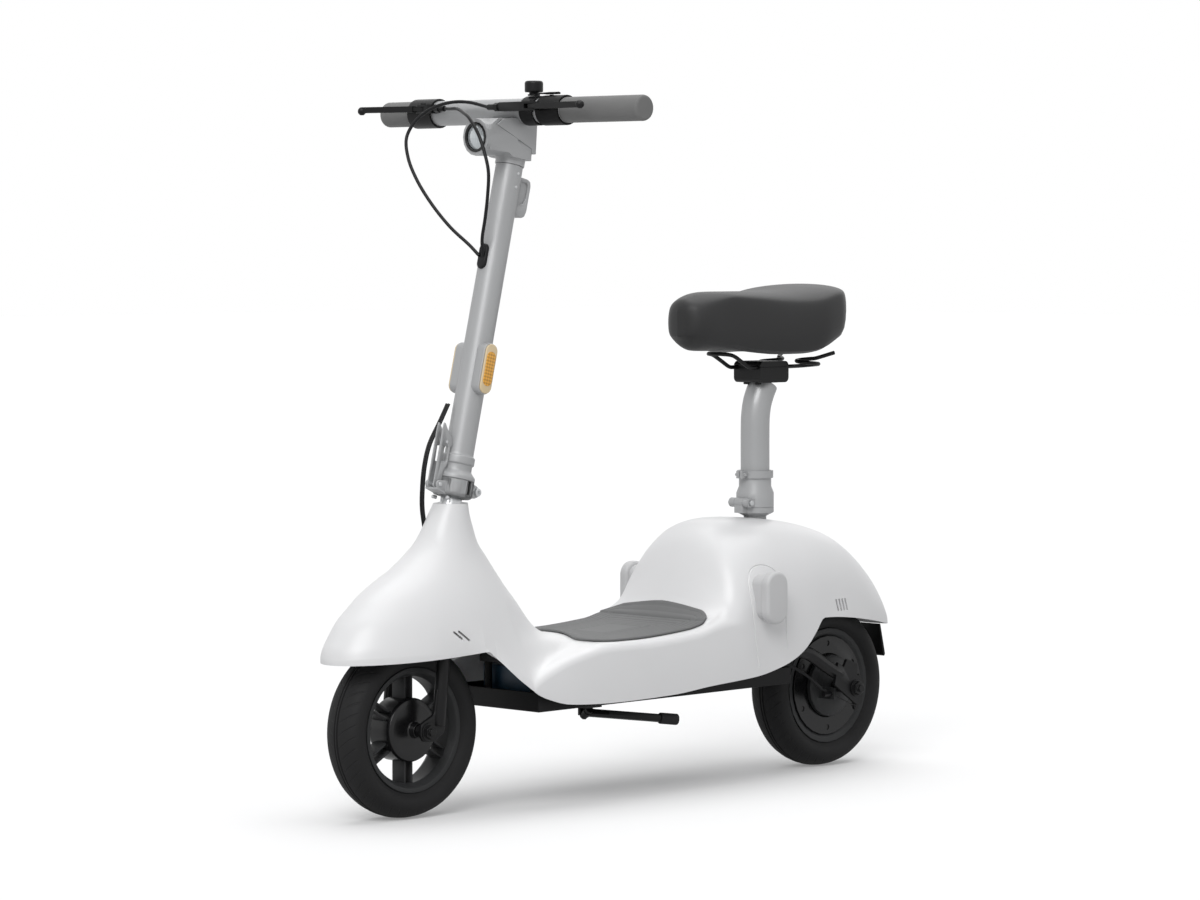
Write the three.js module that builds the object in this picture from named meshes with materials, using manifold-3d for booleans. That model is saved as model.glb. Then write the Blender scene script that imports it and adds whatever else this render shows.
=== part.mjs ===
// Seated electric scooter, in millimetres: +X is its left, it faces -Y, and Z = 0 is the ground
import * as THREE from 'three';
import { mergeVertices } from 'three/addons/utils/BufferGeometryUtils.js';
import Module from 'manifold-3d';

const wasm = await Module();
wasm.setup();

// Driving dimensions of the whole scooter
const overallLength = 1146;
const bodyLength = 1141;
const noseOverhang = 138;
const wheelbase = 875.6;
const barHalfLength = 270;
const barHeight = 1010.2;
const tyreRadius = 127;
const gap = 0.3;
const facetTolerance = 0.12;
const rake = THREE.MathUtils.degToRad(13.61);
const steerSetback = 17.4;

const frontAxleY = -overallLength / 2 + noseOverhang;
const rearAxleY = frontAxleY + wheelbase;
const noseY = -overallLength / 2;
const axleZ = tyreRadius;

// Moulded body
const neckTopZ = 446;
const bodyHalfWidth = 130;
const shellWall = 4;
const fairing = { baseZ: 240, halfWidth: 91, frontReach: 181.5, rearReach: 220 };
const deckRounding = 14;
const blendSpan = 26;
const neckRadii = { rim: 25, second: 27.5, third: 32, fourth: 39, fifth: 49, sixth: 62 };
const neckStep = 10;
const tailEllipse = { centreBack: 918, reach: 223 };
const neckBoreRadius = 17.6;
const seatBoreRadius = 18.6;
const slot = { width: 3.2, depth: 16, length: 20 };
const slotPlace = { x: 92, first: 30, firstZ: 264, second: 41, secondZ: 263 };
const vent = { width: 2.8, length: 24, pitch: 8.4, count: 3 };
const ventPlace = { x: 122, back: 785, z: 264.5 };
const deckTopZ = 236;

// Each row: height share above the fairing base, then side, front and rear reach shares
const fairingRingShares = [
  [-0.62, 1.42, 1, 1.7],
  [-0.437, 1.33, 1, 1.64],
  [-0.243, 1.187, 1, 1.5],
  [-0.097, 1.066, 1, 1.36],
  [0, 1, 1, 1.18],
  [0.034, 0.989, 0.997, 1.023],
  [0.107, 0.956, 0.969, 0.873],
  [0.209, 0.901, 0.918, 0.755],
  [0.291, 0.846, 0.84, 0.673],
  [0.388, 0.758, 0.74, 0.568],
  [0.471, 0.681, 0.611, 0.486],
  [0.544, 0.604, 0.471, 0.418],
  [0.626, 0.522, 0.36, 0.343],
  [0.723, 0.44, 0.252, 0.25],
  [0.825, 0.363, 0.204, 0.195],
  [0.922, 0.313, 0.171, 0.143],
  [1, 0.275, 0.138, 0.114],
];
// Rows of length share from the nose and height share of the neck top
const sillShares = [
  [0, 0.51], [0.077, 0.517], [0.165, 0.529], [0.191, 0.534], [0.199, 0.52], [0.247, 0.421],
  [0.277, 0.371], [0.316, 0.345], [0.378, 0.339], [0.49, 0.345], [0.559, 0.36], [0.65, 0.377],
  [0.701, 0.404], [0.726, 0.428], [0.748, 0.464], [0.765, 0.507], [0.783, 0.554],
  [0.967, 0.496], [1, 0.484],
];
const deckShares = [
  [0.226, 0.336], [0.252, 0.41], [0.28, 0.46], [0.326, 0.507], [0.384, 0.534], [0.428, 0.534],
  [0.533, 0.549], [0.588, 0.578], [0.647, 0.587], [1, 0.48],
];
const humpShares = [
  [0.564, 0.545], [0.573, 0.57], [0.584, 0.61], [0.595, 0.673], [0.604, 0.729], [0.613, 0.785],
  [0.623, 0.834], [0.638, 0.87], [0.657, 0.889], [0.696, 0.895], [0.735, 0.891], [0.775, 0.882],
  [0.822, 0.839], [0.866, 0.778], [0.918, 0.688], [0.962, 0.587], [0.989, 0.511], [1, 0.49],
];
const humpBaseShares = [[0.559, 0.538], [0.734, 0.538], [0.784, 0.558], [0.967, 0.5], [1, 0.488]];
const widthShares = [
  [0.159, 0.7], [0.191, 0.735], [0.247, 0.8], [0.285, 0.869], [0.326, 0.931], [0.384, 0.977],
  [0.454, 1], [0.734, 1], [0.805, 0.962],
];
// Length share from the nose and roundness of the hump's cross-section
const humpRoundness = [
  [0.564, 1.5], [0.604, 1.6], [0.623, 1.9], [0.657, 2.3], [0.696, 2.8], [0.734, 3],
  [0.822, 3], [0.91, 2.6], [1, 2.4],
];
const acrossShares = [0, 0.15, 0.3, 0.46, 0.62, 0.78, 0.92, 1];
const deckRowShares = [0.262, 0.279, 0.3, 0.335, 0.375, 0.425, 0.485, 0.54];
const humpRowShares = [
  0.568, 0.584, 0.599, 0.613, 0.628, 0.65, 0.69, 0.73, 0.7625, 0.784, 0.83, 0.88, 0.925, 0.96,
  0.985, 1,
];
const noseAngles = [20, 40, 57, 72, 83, 90];

// Foot mat and the pads beside the hump
const mat = { front: 292, rear: 531, halfWidth: 113, cornerRadius: 36, thickness: 3.2, lift: 0.9, sink: 6 };
const pad = { back: 618, z: 287, halfWidth: 23, halfHeight: 40, faceX: 158, thickness: 17 };
const padStalk = { halfWidth: 13, halfHeight: 26, sink: 20 };

// Steering column, measured along and behind the steering axis from the axle's height
const steererRadius = 15.75;
const headTube = { radius: 20.5, bore: 18.2, bottom: 190, top: 308 };
const bearing = { outer: 20.5, bore: 16.1, height: 9 };
const fork = {
  legX: 53, legRadius: 9.5, crownHalf: 62, crownZ: 266, crownThickness: 14, crownFront: 20,
  crownRear: 74, footBack: 21, footZ: 136, topBack: 36, steererFrom: 146, crownBoss: 32,
};
const dropout = { thickness: 6, reach: 15, height: 62 };
const frontAxle = {
  radius: 5.8, nutRadius: 10.4, nutLength: 6, half: 66, washer: 13.5, washerThickness: 1.6,
  spacer: 9,
};
const hinge = {
  bottom: 339.8, top: 362, radius: 30, pinBack: 28, pinAlong: 350, pinRadius: 4.2, pinHalf: 25,
  knuckle: 9.5, barrel: 9, latchBack: -41, latchAlong: 349, latchPin: 3.2, latchBoss: 6.5,
};
const stem = {
  radius: 21, topRadius: 20, bore: 17.8, boreFrom: 372, top: 828, collarRadius: 26,
  collarTop: 396, collarBottom: 386, coneTop: 404, cupRadius: 31.5, cupTop: 378,
};
const latch = {
  half: 8.6, front: -56, rear: -40, bottom: 342, top: 442, wall: 2.4, knobAlong: 408,
  knobHalf: 5, knobDepth: 4, knobFront: -50, topFront: -53, heel: -34,
};

// Head, display, headlight and the bar
const bar = {
  radius: 18.4, gripRadius: 18.6, back: 219.3, core: 11, bore: 8.5,
};
const gripEnd = { cap: 7.5, round: 2.5 };
const head = {
  barrelRadius: 27, barrelFront: 145, barrelRear: 205, barrelZ: 972, sleeveRadius: 21.5,
  topAlong: 884, half: 25,
};
const headSide = [
  [152, 954], [152, 990], [166, 999], [230, 1004], [234, 957], [232, 938], [196, 944], [188, 950],
];
const podSplit = [[163, 990.5], [232.5, 955.6], [232.8, 947.8]];
const podRear = [[240.5, 947.8], [243.5, 993], [236, 1003], [176, 998]];
const display = { half: 26.5 };
const headlight = {
  radius: 21.5, bezel: 18, depth: 13, stand: 1.5, lensRadius: 17.6, lensDepth: 9, lensRise: 3,
};
const hookOutline = [
  [20.4, 812], [25.5, 812], [27.5, 786], [31, 776], [34.5, 775], [36, 784], [41.5, 784],
  [41.5, 771], [37.5, 762], [30, 759], [20.4, 768],
];
const hook = { half: 8.5 };
const grommet = { halfWidth: 8.5, halfHeight: 19, along: 688, stand: 3.4 };
const reflector = {
  half: 12, halfHeight: 37, along: 526, back: -2, standX: 31, lensThickness: 4.2, inset: 1.6,
};
const stemScrew = { radius: 2.6, lower: 796, upper: 816, stand: 0.7, back: 1.6 };

// Controls on the bar
const cuff = { radius: 21.8, leftInner: 68, leftOuter: 113.4, rightInner: 156, rightOuter: 204.8 };
const perch = {
  bandRadius: 21.4, back: 186.5, z: 1016, half: 6.5, front: 179, rear: 194, jaw: 3.4,
  jawReach: 10, bridgeHalf: 5.5,
};
const leftPerch = { pivotX: 74, bodyInner: 10, adjusterInner: -17, bandInner: 34, bandOuter: 60 };
const rightPerch = {
  pivotX: 158, bodyInner: 134, adjusterInner: 111, bandInner: 156, bandOuter: 204.8,
};
const lever = {
  rootRadius: 6.6, rootHalf: 3, neck: 14, ballRadius: 6.4, thickness: 4.4, pin: 2.3,
};
const leverPull = 9;
const leverPullShares = [-0.05, 0.5, 1.05];
const leftBall = { x: 183, back: 175.5, z: 1016 };
const rightBall = { x: 263, back: 160, z: 1014.5 };
const adjuster = {
  radius: 4.4, nutRadius: 6.2, nutLength: 8, cableRadius: 2.5, length: 22, wire: 0.9,
};
const cableSteps = 32;
const bell = {
  x: 44, radius: 13.4, baseRadius: 9, baseTop: 1034.2, postRadius: 4, rimZ: 1037, topZ: 1053.6,
};
const striker = { ringOuter: 7, reach: 18.5, tip: 3, half: 2.2 };
const paddle = { inner: 70, outer: 92, bottom: 1033, top: 1036, half: 7.5, padTop: 1031.4 };
const gripJoin = 114;
const throttleJoin = 205.2;

// Routes of the held cables and of the harness: places as drawn from the photo
const leftCableRoute = [
  [-27, 187, 1018], [-54, 185, 1023.6], [-80, 180, 1025], [-103.6, 172, 1021], [-125.4, 163, 1011],
  [-140.7, 153, 994.8], [-146.8, 144, 973.5], [-135.2, 136, 945], [-113.8, 133, 912.8],
  [-84.6, 135, 877.5], [-49.7, 141, 842.3], [-18.2, 150, 816],
];
const rightCableRoute = [
  [-101, 184, 1015.5], [-86, 177, 1015], [-60, 165, 1014], [-31, 150, 1007.5], [-7, 139.5, 998.5],
  [17, 135, 974.6], [30, 134, 949.8], [38.4, 134, 921.8], [35.6, 135, 887], [26.3, 139, 855.8],
  [10.2, 148, 824.4],
];
const harnessRoute = [
  [-15.5, 104, 588], [-18.5, 92, 564], [-20.5, 72, 530], [-20, 62, 500], [-20, 58, 470],
  [-23, 60, 440], [-26, 68, 408],
];
const harnessRadius = 4.2;
const steerLock = 46;
const steerShares = [-1, -0.8, -0.6, -0.4, -0.2, 0, 0.2, 0.4, 0.6, 0.8, 1];

// Rear frame and hub
const rearArm = { x: 75, radius: 10.5, crossBack: 735, crossZ: 193, crossRadius: 9 };
const rearArmRoute = [[735, 193], [768, 190], [819, 163], [846, 150]];
const armPlate = { x: 81, thickness: 5 };
const armPlateOutline = [
  [834.6, 169.4], [847.6, 161.5], [855.3, 173.2], [878.7, 164.6], [878.7, 147.1],
  [894.4, 137.2], [889.4, 102.7], [878.9, 100], [827.1, 135.2],
];
const rearHubFace = 23.7;
const drumFace = 38;
const rearAxle = {
  radius: 6, half: 96.5, nutRadius: 11, nutLength: 8, washer: 13, washerThickness: 2, spacer: 9.5,
};
const rimProfile = [
  [76.5, -14], [76.5, 14], [83, 24.8], [89.6, 25.3], [89.6, 22.6], [84.8, 22.6], [81, 12],
  [81, -12], [84.8, -22.6], [89.6, -22.6], [89.6, -25.3], [83, -24.8], [76.5, -14],
];
const rearRimProfile = [
  [6.4, 10], [50, 10], [50, 20.2], [77.8, 20.2], [83, 24.8], [89.6, 25.3], [89.6, 22.6],
  [84.8, 22.6], [81, 12], [81, -12], [84.8, -22.6], [89.6, -22.6], [89.6, -25.3], [83, -24.8],
  [76.5, -18], [50, -19], [44, -23.7], [6.4, -23.7], [6.4, 10],
];
const tyreProfile = [
  [85.1, 17], [85.1, 22.3], [90.3, 22.3], [95.5, 30.6], [106, 33.4], [116.5, 29.4],
  [124, 16.5], [127, 0],
];
const tyreInnerProfile = [[116, 0], [108, 25]];
const hubProfile = [
  [6.2, 20.3], [6.2, 36], [11, 36], [11, 24.5], [44, 22.5], [46, 18], [46, -18], [44, -22.5],
  [11, -24.5], [11, -36], [6.2, -36], [6.2, -20.3], [13, -20.3], [13, 20.3], [6.2, 20.3],
];
const bearingProfile = [
  [6.1, 20], [12.7, 20], [12.7, 12], [9, 12], [9, -12], [12.7, -12], [12.7, -20], [6.1, -20],
  [6.1, 20],
];
const spoke = { thickness: 3.4, spacing: 13, halfWidth: 13, inner: 42, outer: 78, pairs: 6 };
const wheelSides = 28;
const hubCover = {
  outer: 77.3, inner: 50.5, front: 20.5, rear: 24, screwRing: 66, screw: 4.2, sink: 1.6, screws: 6,
};
const backplateProfile = [
  [6.3, 24.4], [49, 24.4], [49, 31], [44, 35], [20, 38], [6.3, 38], [6.3, 24.4],
];
const cam = { back: 905, z: 140, radius: 6, inner: 30, x: 58 };
const cablePost = {
  back: 845, z: 119, half: 3, halfHeight: 9, inner: 31, outer: 68, hole: 4.4,
};
const rearCableRoute = [[63, 700, 182], [62, 724, 178], [61.3, 765, 162], [61.3, 797, 145]];
const brakeArm = { half: 2, eye: 7, endBack: 903, endZ: 94, endRadius: 5.5, boltRadius: 2.2 };

// Chassis under the deck
const tray = {
  front: 179, rear: 714, half: 95, bottom: 146.8, frontBottom: 143.6, wall: 2.5, top: 172,
  frontPost: 214, rearPost: 640, postRadius: 6,
};
const battery = { front: 225, rear: 540, half: 78, top: 200 };
const rail = { x: 48, size: 18, z: 215, front: 205, rear: 745 };
const downTube = { radius: 17, topAlong: 236, footBack: 214, footZ: 216 };
const mudflapOutline = [[993, 215.9], [996.5, 215.9], [1008, 168], [1006.2, 164], [1003.8, 166]];
const mudflap = { half: 27, corner: 5 };
const kickstand = {
  x: 60, back: 310, z: 131, legRadius: 6.2, footRadius: 8.4, footLength: 26, footCap: 3,
  reach: 149, eye: 7, eyeHalf: 4.5, cheek: 6.4, cheekNear: 5, cheekFar: 10.5, cheekRoot: 2.5,
  bracketHalf: 16, bracketThickness: 5, pin: 2.6,
};
const kickAxis = new THREE.Vector3(-0.81, 0.182, -0.556).normalize();
const kickStowed = new THREE.Vector3(0.295, 0.947, -0.119).normalize();

// Seat
const seatAxisBack = 734.5;
const seatPost = { radius: 22.3, wall: 2.4, bottom: 425 };
const seatPostRoute = [[734.5, 541], [735.6, 556], [738.8, 572], [745, 587], [752.7, 601]];
const seatNeck = { radius: 17.5, bottom: 330, top: 404, flange: 29, flangeTop: 412, tube: 16.5 };
const seatSocket = {
  radius: 29, bottom: 412.4, shoulder: 434, top: 444, upper: 468, upperRadius: 25, bore: 22.6,
};
const seatPin = { back: 703, z: 419.8, radius: 4, barrel: 7.3, barrelHalf: 20, half: 24, inner: 9 };
const collar = { radius: 28, inner: 25.3, bottom: 457, top: 468.5, tab: 15, tabHalf: 6.5, slit: 1.6 };
const saddle = {
  front: 562, length: 316, halfWidth: 122, bottom: 653, height: 104, waistShare: 0.36,
  crownRound: 2.5, baseRound: 3, around: 24,
};
const saddleStations = [
  0, 0.012, 0.04, 0.09, 0.17, 0.27, 0.37, 0.47, 0.57, 0.67, 0.77, 0.86, 0.93, 0.975, 0.993, 1,
];
const saddleClamp = { half: 28, front: 716, rear: 780, bottom: 604, top: 637, corner: 8 };
const wire = {
  radius: 3.2, railX: 21, railZ: 628, loopRadius: 17, loopBack: 812, sides: 5, turns: 1.25,
  pitch: 9.5, clampFront: 700, steps: 64,
};
const wireFront = [[0, 640, 649.5], [14, 645, 649.5], [20.5, 662, 647], [21, 682, 637]];
const wireEnd = [54, 856, 648.6];
// Length share from the nose of the saddle, then width or height share
const saddleWidthShares = [
  [0, 0], [0.013, 0.18], [0.044, 0.295], [0.108, 0.377], [0.215, 0.434], [0.342, 0.541],
  [0.468, 0.705], [0.595, 0.893], [0.722, 1], [0.816, 0.984], [0.899, 0.836], [0.956, 0.623],
  [0.987, 0.377], [1, 0],
];
const saddleTopShares = [
  [0, 0.45], [0.032, 0.7], [0.089, 0.825], [0.155, 0.88], [0.294, 0.885], [0.437, 0.923],
  [0.595, 0.98], [0.744, 0.995], [0.88, 0.952], [0.949, 0.86], [0.981, 0.72], [1, 0.45],
];
const saddleBottomShares = [
  [0, 0.35], [0.019, 0.14], [0.057, 0.04], [0.12, 0], [0.247, 0], [0.437, 0],
  [0.595, 0], [0.753, 0], [0.911, 0.04], [0.975, 0.15], [1, 0.35],
];

const scooter = new THREE.Group();
const behind = (distance) => frontAxleY + distance;
const fromNose = (share) => noseY + share * bodyLength;

// Places on the raked steering axis
const columnFrame = new THREE.Matrix4().makeRotationX(-rake);
columnFrame.setPosition(0, frontAxleY + steerSetback, axleZ);
const onColumn = (x, back, along) => new THREE.Vector3(x, back, along).applyMatrix4(columnFrame);
const axisY = (z) => frontAxleY + steerSetback + (z - axleZ) * Math.tan(rake);

// Materials
const finish = (color, roughness, metalness = 0) =>
  new THREE.MeshStandardMaterial({ color, roughness, metalness });
const whiteMoulding = finish(0xf2f2f2, 0.45);
const greyMoulding = finish(0xd7d7d6, 0.5);
const silverPaint = finish(0xb9bbbd, 0.38, 0.5);
const brightMetal = finish(0xdfe3e6, 0.22, 0.9);
const blackMetal = finish(0x1c1d1e, 0.4, 0.4);
const blackPlastic = finish(0x18191a, 0.55);
const darkWheel = finish(0x3a3c3d, 0.5, 0.3);
const tyreRubber = finish(0x2b2c2d, 0.85);
const gripRubber = finish(0x7c7c7a, 0.8);
const matRubber = finish(0x7f8080, 0.85);
const batteryWrap = finish(0x2f4f6f, 0.6);
const saddleFoam = finish(0x333333, 0.75);
const amberLens = finish(0xe0a020, 0.25);
const clearLens = finish(0xf4f6f7, 0.1);

// Closed solids from three.js geometry
function weld(geometry) {
  const plain = geometry.clone();
  plain.deleteAttribute('normal');
  plain.deleteAttribute('uv');
  const merged = mergeVertices(plain, gap / 1000);
  const corners = [];
  for (let i = 0; i < merged.index.count; i += 3) {
    const [a, b, c] = [0, 1, 2].map((k) => merged.index.getX(i + k));
    if (a !== b && b !== c && c !== a) corners.push(a, b, c);
  }
  merged.setIndex(corners);
  return merged;
}

function volumeOf(welded) {
  const place = welded.getAttribute('position');
  const [a, b, c] = [new THREE.Vector3(), new THREE.Vector3(), new THREE.Vector3()];
  let total = 0;
  for (let i = 0; i < welded.index.count; i += 3) {
    a.fromBufferAttribute(place, welded.index.getX(i));
    b.fromBufferAttribute(place, welded.index.getX(i + 1));
    c.fromBufferAttribute(place, welded.index.getX(i + 2));
    total += a.dot(b.cross(c)) / 6;
  }
  return total;
}

function solid(geometry) {
  const welded = weld(geometry);
  const triVerts = new Uint32Array(welded.index.array);
  if (volumeOf(welded) < 0) triVerts.reverse();
  const vertProperties = new Float32Array(welded.getAttribute('position').array);
  return new wasm.Manifold(new wasm.Mesh({ numProp: 3, vertProperties, triVerts }));
}

const joined = (...bodies) => bodies.reduce((all, body) => all.add(body));
const without = (body, ...cuts) => cuts.reduce((left, cut) => left.subtract(cut), body);

function geometryOf(body) {
  const mesh = body.simplify(facetTolerance).getMesh();
  const geometry = new THREE.BufferGeometry();
  const places = new Float32Array(mesh.numVert * 3);
  for (let i = 0; i < mesh.numVert; i += 1) {
    for (let k = 0; k < 3; k += 1) places[i * 3 + k] = mesh.vertProperties[i * mesh.numProp + k];
  }
  geometry.setAttribute('position', new THREE.BufferAttribute(places, 3));
  geometry.setIndex(new THREE.BufferAttribute(new Uint32Array(mesh.triVerts), 1));
  geometry.computeVertexNormals();
  return geometry;
}

function addPiece(name, body, material, parent = scooter) {
  const mesh = new THREE.Mesh(geometryOf(body), material.clone());
  mesh.name = name;
  parent.add(mesh);
  return mesh;
}

// Shapes used throughout, each a closed solid
const quarter = Math.PI / 2;
const axisTurn = {
  x: new THREE.Matrix4().makeRotationZ(-quarter),
  y: new THREE.Matrix4(),
  z: new THREE.Matrix4().makeRotationX(quarter),
};

function turned(profile, axis, sides, place = [0, 0, 0]) {
  const points = profile.map(([radius, along]) => new THREE.Vector2(radius, along));
  const geometry = new THREE.LatheGeometry(points, sides);
  geometry.applyMatrix4(axisTurn[axis]);
  geometry.translate(...place);
  return solid(geometry);
}

const drumProfile = (radius, from, to) => [[0, from], [radius, from], [radius, to], [0, to]];
const ringProfile = (outer, inner, from, to) =>
  [[inner, from], [outer, from], [outer, to], [inner, to], [inner, from]];

function rod(radius, from, to, axis, sides, place) {
  return turned(drumProfile(radius, from, to), axis, sides, place);
}

// Radius of a faceted hole that a pin of the same facets can turn in
const turningHole = (radius, sides) => (radius + gap) / Math.cos(Math.PI / sides);

function ring(outer, inner, from, to, axis, sides, place) {
  return turned(ringProfile(outer, inner, from, to), axis, sides, place);
}

function strut(from, to, radius, sides) {
  const [a, b] = [new THREE.Vector3(...from), new THREE.Vector3(...to)];
  const geometry = new THREE.CylinderGeometry(radius, radius, a.distanceTo(b), sides);
  const direction = b.clone().sub(a).normalize();
  const turn = new THREE.Quaternion().setFromUnitVectors(new THREE.Vector3(0, 1, 0), direction);
  geometry.applyQuaternion(turn);
  geometry.translate(...a.add(b).multiplyScalar(0.5).toArray());
  return solid(geometry);
}

function tube(points, radius, sides, steps, closed = false) {
  const route = points.map((point) => (point.isVector3 ? point : new THREE.Vector3(...point)));
  const extrudePath = new THREE.CatmullRomCurve3(route, closed, 'centripetal');
  const section = new THREE.Shape();
  for (let i = 0; i < sides; i += 1) {
    const angle = (i * 2 * Math.PI) / sides;
    const corner = [radius * Math.cos(angle), radius * Math.sin(angle)];
    if (i === 0) section.moveTo(...corner);
    else section.lineTo(...corner);
  }
  section.closePath();
  return solid(new THREE.ExtrudeGeometry(section, { steps, bevelEnabled: false, extrudePath }));
}

function outline(points) {
  const shape = new THREE.Shape();
  points.forEach(([a, b], i) => (i ? shape.lineTo(a, b) : shape.moveTo(a, b)));
  shape.closePath();
  return shape;
}

function roundedOutline(halfA, halfB, radius, centreA = 0, centreB = 0) {
  const shape = new THREE.Shape();
  const corners = [[1, 1, 0], [-1, 1, 1], [-1, -1, 2], [1, -1, 3]];
  corners.forEach(([a, b, turn]) => {
    const centre = [centreA + a * (halfA - radius), centreB + b * (halfB - radius)];
    shape.absarc(...centre, radius, turn * quarter, (turn + 1) * quarter, false);
  });
  shape.closePath();
  return shape;
}

// A plate lies across one axis: its outline is in YZ for x, XZ for y and XY for z
const plateBasis = {
  x: [new THREE.Vector3(0, 1, 0), new THREE.Vector3(0, 0, 1), new THREE.Vector3(1, 0, 0)],
  y: [new THREE.Vector3(1, 0, 0), new THREE.Vector3(0, 0, 1), new THREE.Vector3(0, -1, 0)],
  z: [new THREE.Vector3(1, 0, 0), new THREE.Vector3(0, 1, 0), new THREE.Vector3(0, 0, 1)],
};

function plate(shape, from, to, axis, curveSegments = 4) {
  const depth = Math.abs(to - from);
  const geometry = new THREE.ExtrudeGeometry(shape, { depth, bevelEnabled: false, curveSegments });
  geometry.applyMatrix4(new THREE.Matrix4().makeBasis(...plateBasis[axis]));
  const start = axis === 'y' ? -Math.max(from, to) : Math.min(from, to);
  const shift = new THREE.Vector3().copy(plateBasis[axis][2]).multiplyScalar(start);
  geometry.translate(...shift.toArray());
  return solid(geometry);
}

function block(halfX, fromY, toY, fromZ, toZ, centreX = 0) {
  const geometry = new THREE.BoxGeometry(halfX * 2, Math.abs(toY - fromY), Math.abs(toZ - fromZ));
  geometry.translate(centreX, (fromY + toY) / 2, (fromZ + toZ) / 2);
  return solid(geometry);
}

const inColumn = (body) => {
  const e = columnFrame.elements;
  return body.transform(Array.from(e));
};
const mirrored = (body) => body.mirror([1, 0, 0]);

// Smooth curve through rows of shares, without overshoot
function smoothRows(rows, column = 1) {
  const xs = rows.map((row) => row[0]);
  const ys = rows.map((row) => row[column]);
  const rises = xs.slice(1).map((x, i) => (ys[i + 1] - ys[i]) / (x - xs[i]));
  const slopes = xs.map((_, i) => {
    if (i === 0) return rises[0];
    if (i === xs.length - 1) return rises[i - 1];
    if (rises[i - 1] * rises[i] <= 0) return 0;
    return (2 * rises[i - 1] * rises[i]) / (rises[i - 1] + rises[i]);
  });
  return (x) => {
    if (x <= xs[0]) return ys[0];
    if (x >= xs[xs.length - 1]) return ys[xs.length - 1];
    const i = xs.findIndex((_, k) => x < xs[k + 1]);
    const width = xs[i + 1] - xs[i];
    const t = (x - xs[i]) / width;
    const [t2, t3] = [t * t, t * t * t];
    return (2 * t3 - 3 * t2 + 1) * ys[i] + (t3 - 2 * t2 + t) * width * slopes[i]
      + (3 * t2 - 2 * t3) * ys[i + 1] + (t3 - t2) * width * slopes[i + 1];
  };
}

// The moulded body's outer surface as a height over every place in plan
const shareAt = (y) => (y - noseY) / bodyLength;
const sillOf = smoothRows(sillShares);
const deckOf = smoothRows(deckShares);
const humpOf = smoothRows(humpShares);
const humpBaseOf = smoothRows(humpBaseShares);
const widthOf = smoothRows(widthShares);
const roundnessOf = smoothRows(humpRoundness);
const ringSideOf = smoothRows(fairingRingShares, 1);
const ringFrontOf = smoothRows(fairingRingShares, 2);
const ringRearOf = smoothRows(fairingRingShares, 3);
const sillZ = (y) => sillOf(shareAt(y)) * neckTopZ;
const fairingCentreY = axisY(fairing.baseZ);
const neckY = axisY(neckTopZ);

function halfWidthAt(y) {
  if (y < fairingCentreY) {
    const t = Math.min(1, (fairingCentreY - y) / (fairingCentreY - noseY));
    return fairing.halfWidth * Math.sqrt(1 - t * t);
  }
  const tailY = noseY + tailEllipse.centreBack;
  if (y > tailY) {
    const t = Math.min(1, (y - tailY) / tailEllipse.reach);
    return widthOf(shareAt(tailY)) * bodyHalfWidth * Math.sqrt(1 - t * t);
  }
  return widthOf(shareAt(y)) * bodyHalfWidth;
}

function fairingHeight(x, y) {
  const span = neckTopZ - fairing.baseZ;
  let [low, high] = [fairingRingShares[0][0], 1];
  const inside = (share) => {
    const centre = axisY(fairing.baseZ + share * span);
    const reach = y < centre
      ? ringFrontOf(share) * fairing.frontReach
      : ringRearOf(share) * fairing.rearReach;
    return (x / (ringSideOf(share) * fairing.halfWidth)) ** 2 + ((y - centre) / reach) ** 2 < 1;
  };
  if (inside(high)) return neckTopZ;
  if (!inside(low)) return fairing.baseZ + low * span;
  for (let i = 0; i < 40; i += 1) {
    const middle = (low + high) / 2;
    if (inside(middle)) low = middle;
    else high = middle;
  }
  return fairing.baseZ + low * span;
}

function deckHeight(x, y) {
  const edge = Math.max(0, Math.abs(x) - (halfWidthAt(y) - deckRounding)) / deckRounding;
  const drop = deckRounding * (1 - Math.sqrt(Math.max(0, 1 - edge * edge)));
  return deckOf(shareAt(y)) * neckTopZ - drop;
}

function humpHeight(x, y) {
  const share = shareAt(y);
  if (share < humpShares[0][0]) return 0;
  const across = Math.min(1, Math.abs(x) / Math.max(halfWidthAt(y), gap));
  const round = roundnessOf(share);
  const base = humpBaseOf(share);
  const crown = Math.max(0, 1 - across ** round) ** (1 / round);
  return (base + (humpOf(share) - base) * crown) * neckTopZ;
}

function blended(a, b, span) {
  const near = Math.max(0, span - Math.abs(a - b)) / span;
  return Math.max(a, b) + (near * near * span) / 4;
}

function surfaceZ(x, y) {
  const fade = Math.min(1, Math.max(0, (halfWidthAt(y) - Math.abs(x)) / deckRounding));
  const span = Math.max(gap, blendSpan * fade);
  const deckOnly = y > neckY ? deckHeight(x, y) : 0;
  const withDeck = blended(fairingHeight(x, y), deckOnly, span);
  return Math.max(blended(withDeck, humpHeight(x, y), span), sillZ(y) + gap);
}

// Plan positions: straight rows and columns that turn into circles round the neck
const noseRows = noseAngles.map((degrees) => {
  const reach = fairingCentreY - noseY;
  return fairingCentreY - reach * Math.sin(THREE.MathUtils.degToRad(degrees));
}).filter((y) => y < neckY - 6.4 * neckStep);
const neckRows = Array.from({ length: 13 }, (_, i) => neckY + (i - 6) * neckStep);
const bodyRows = [
  ...noseRows.reverse(), ...neckRows,
  ...deckRowShares.map(fromNose), ...humpRowShares.map(fromNose),
];
const neckRow = noseRows.length + 6;
const ringRadii = [0, neckRadii.rim / 2, ...Object.values(neckRadii)];
const squareness = [0, 0, 0, 0, 0.05, 0.2, 0.45, 0.7];

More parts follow.
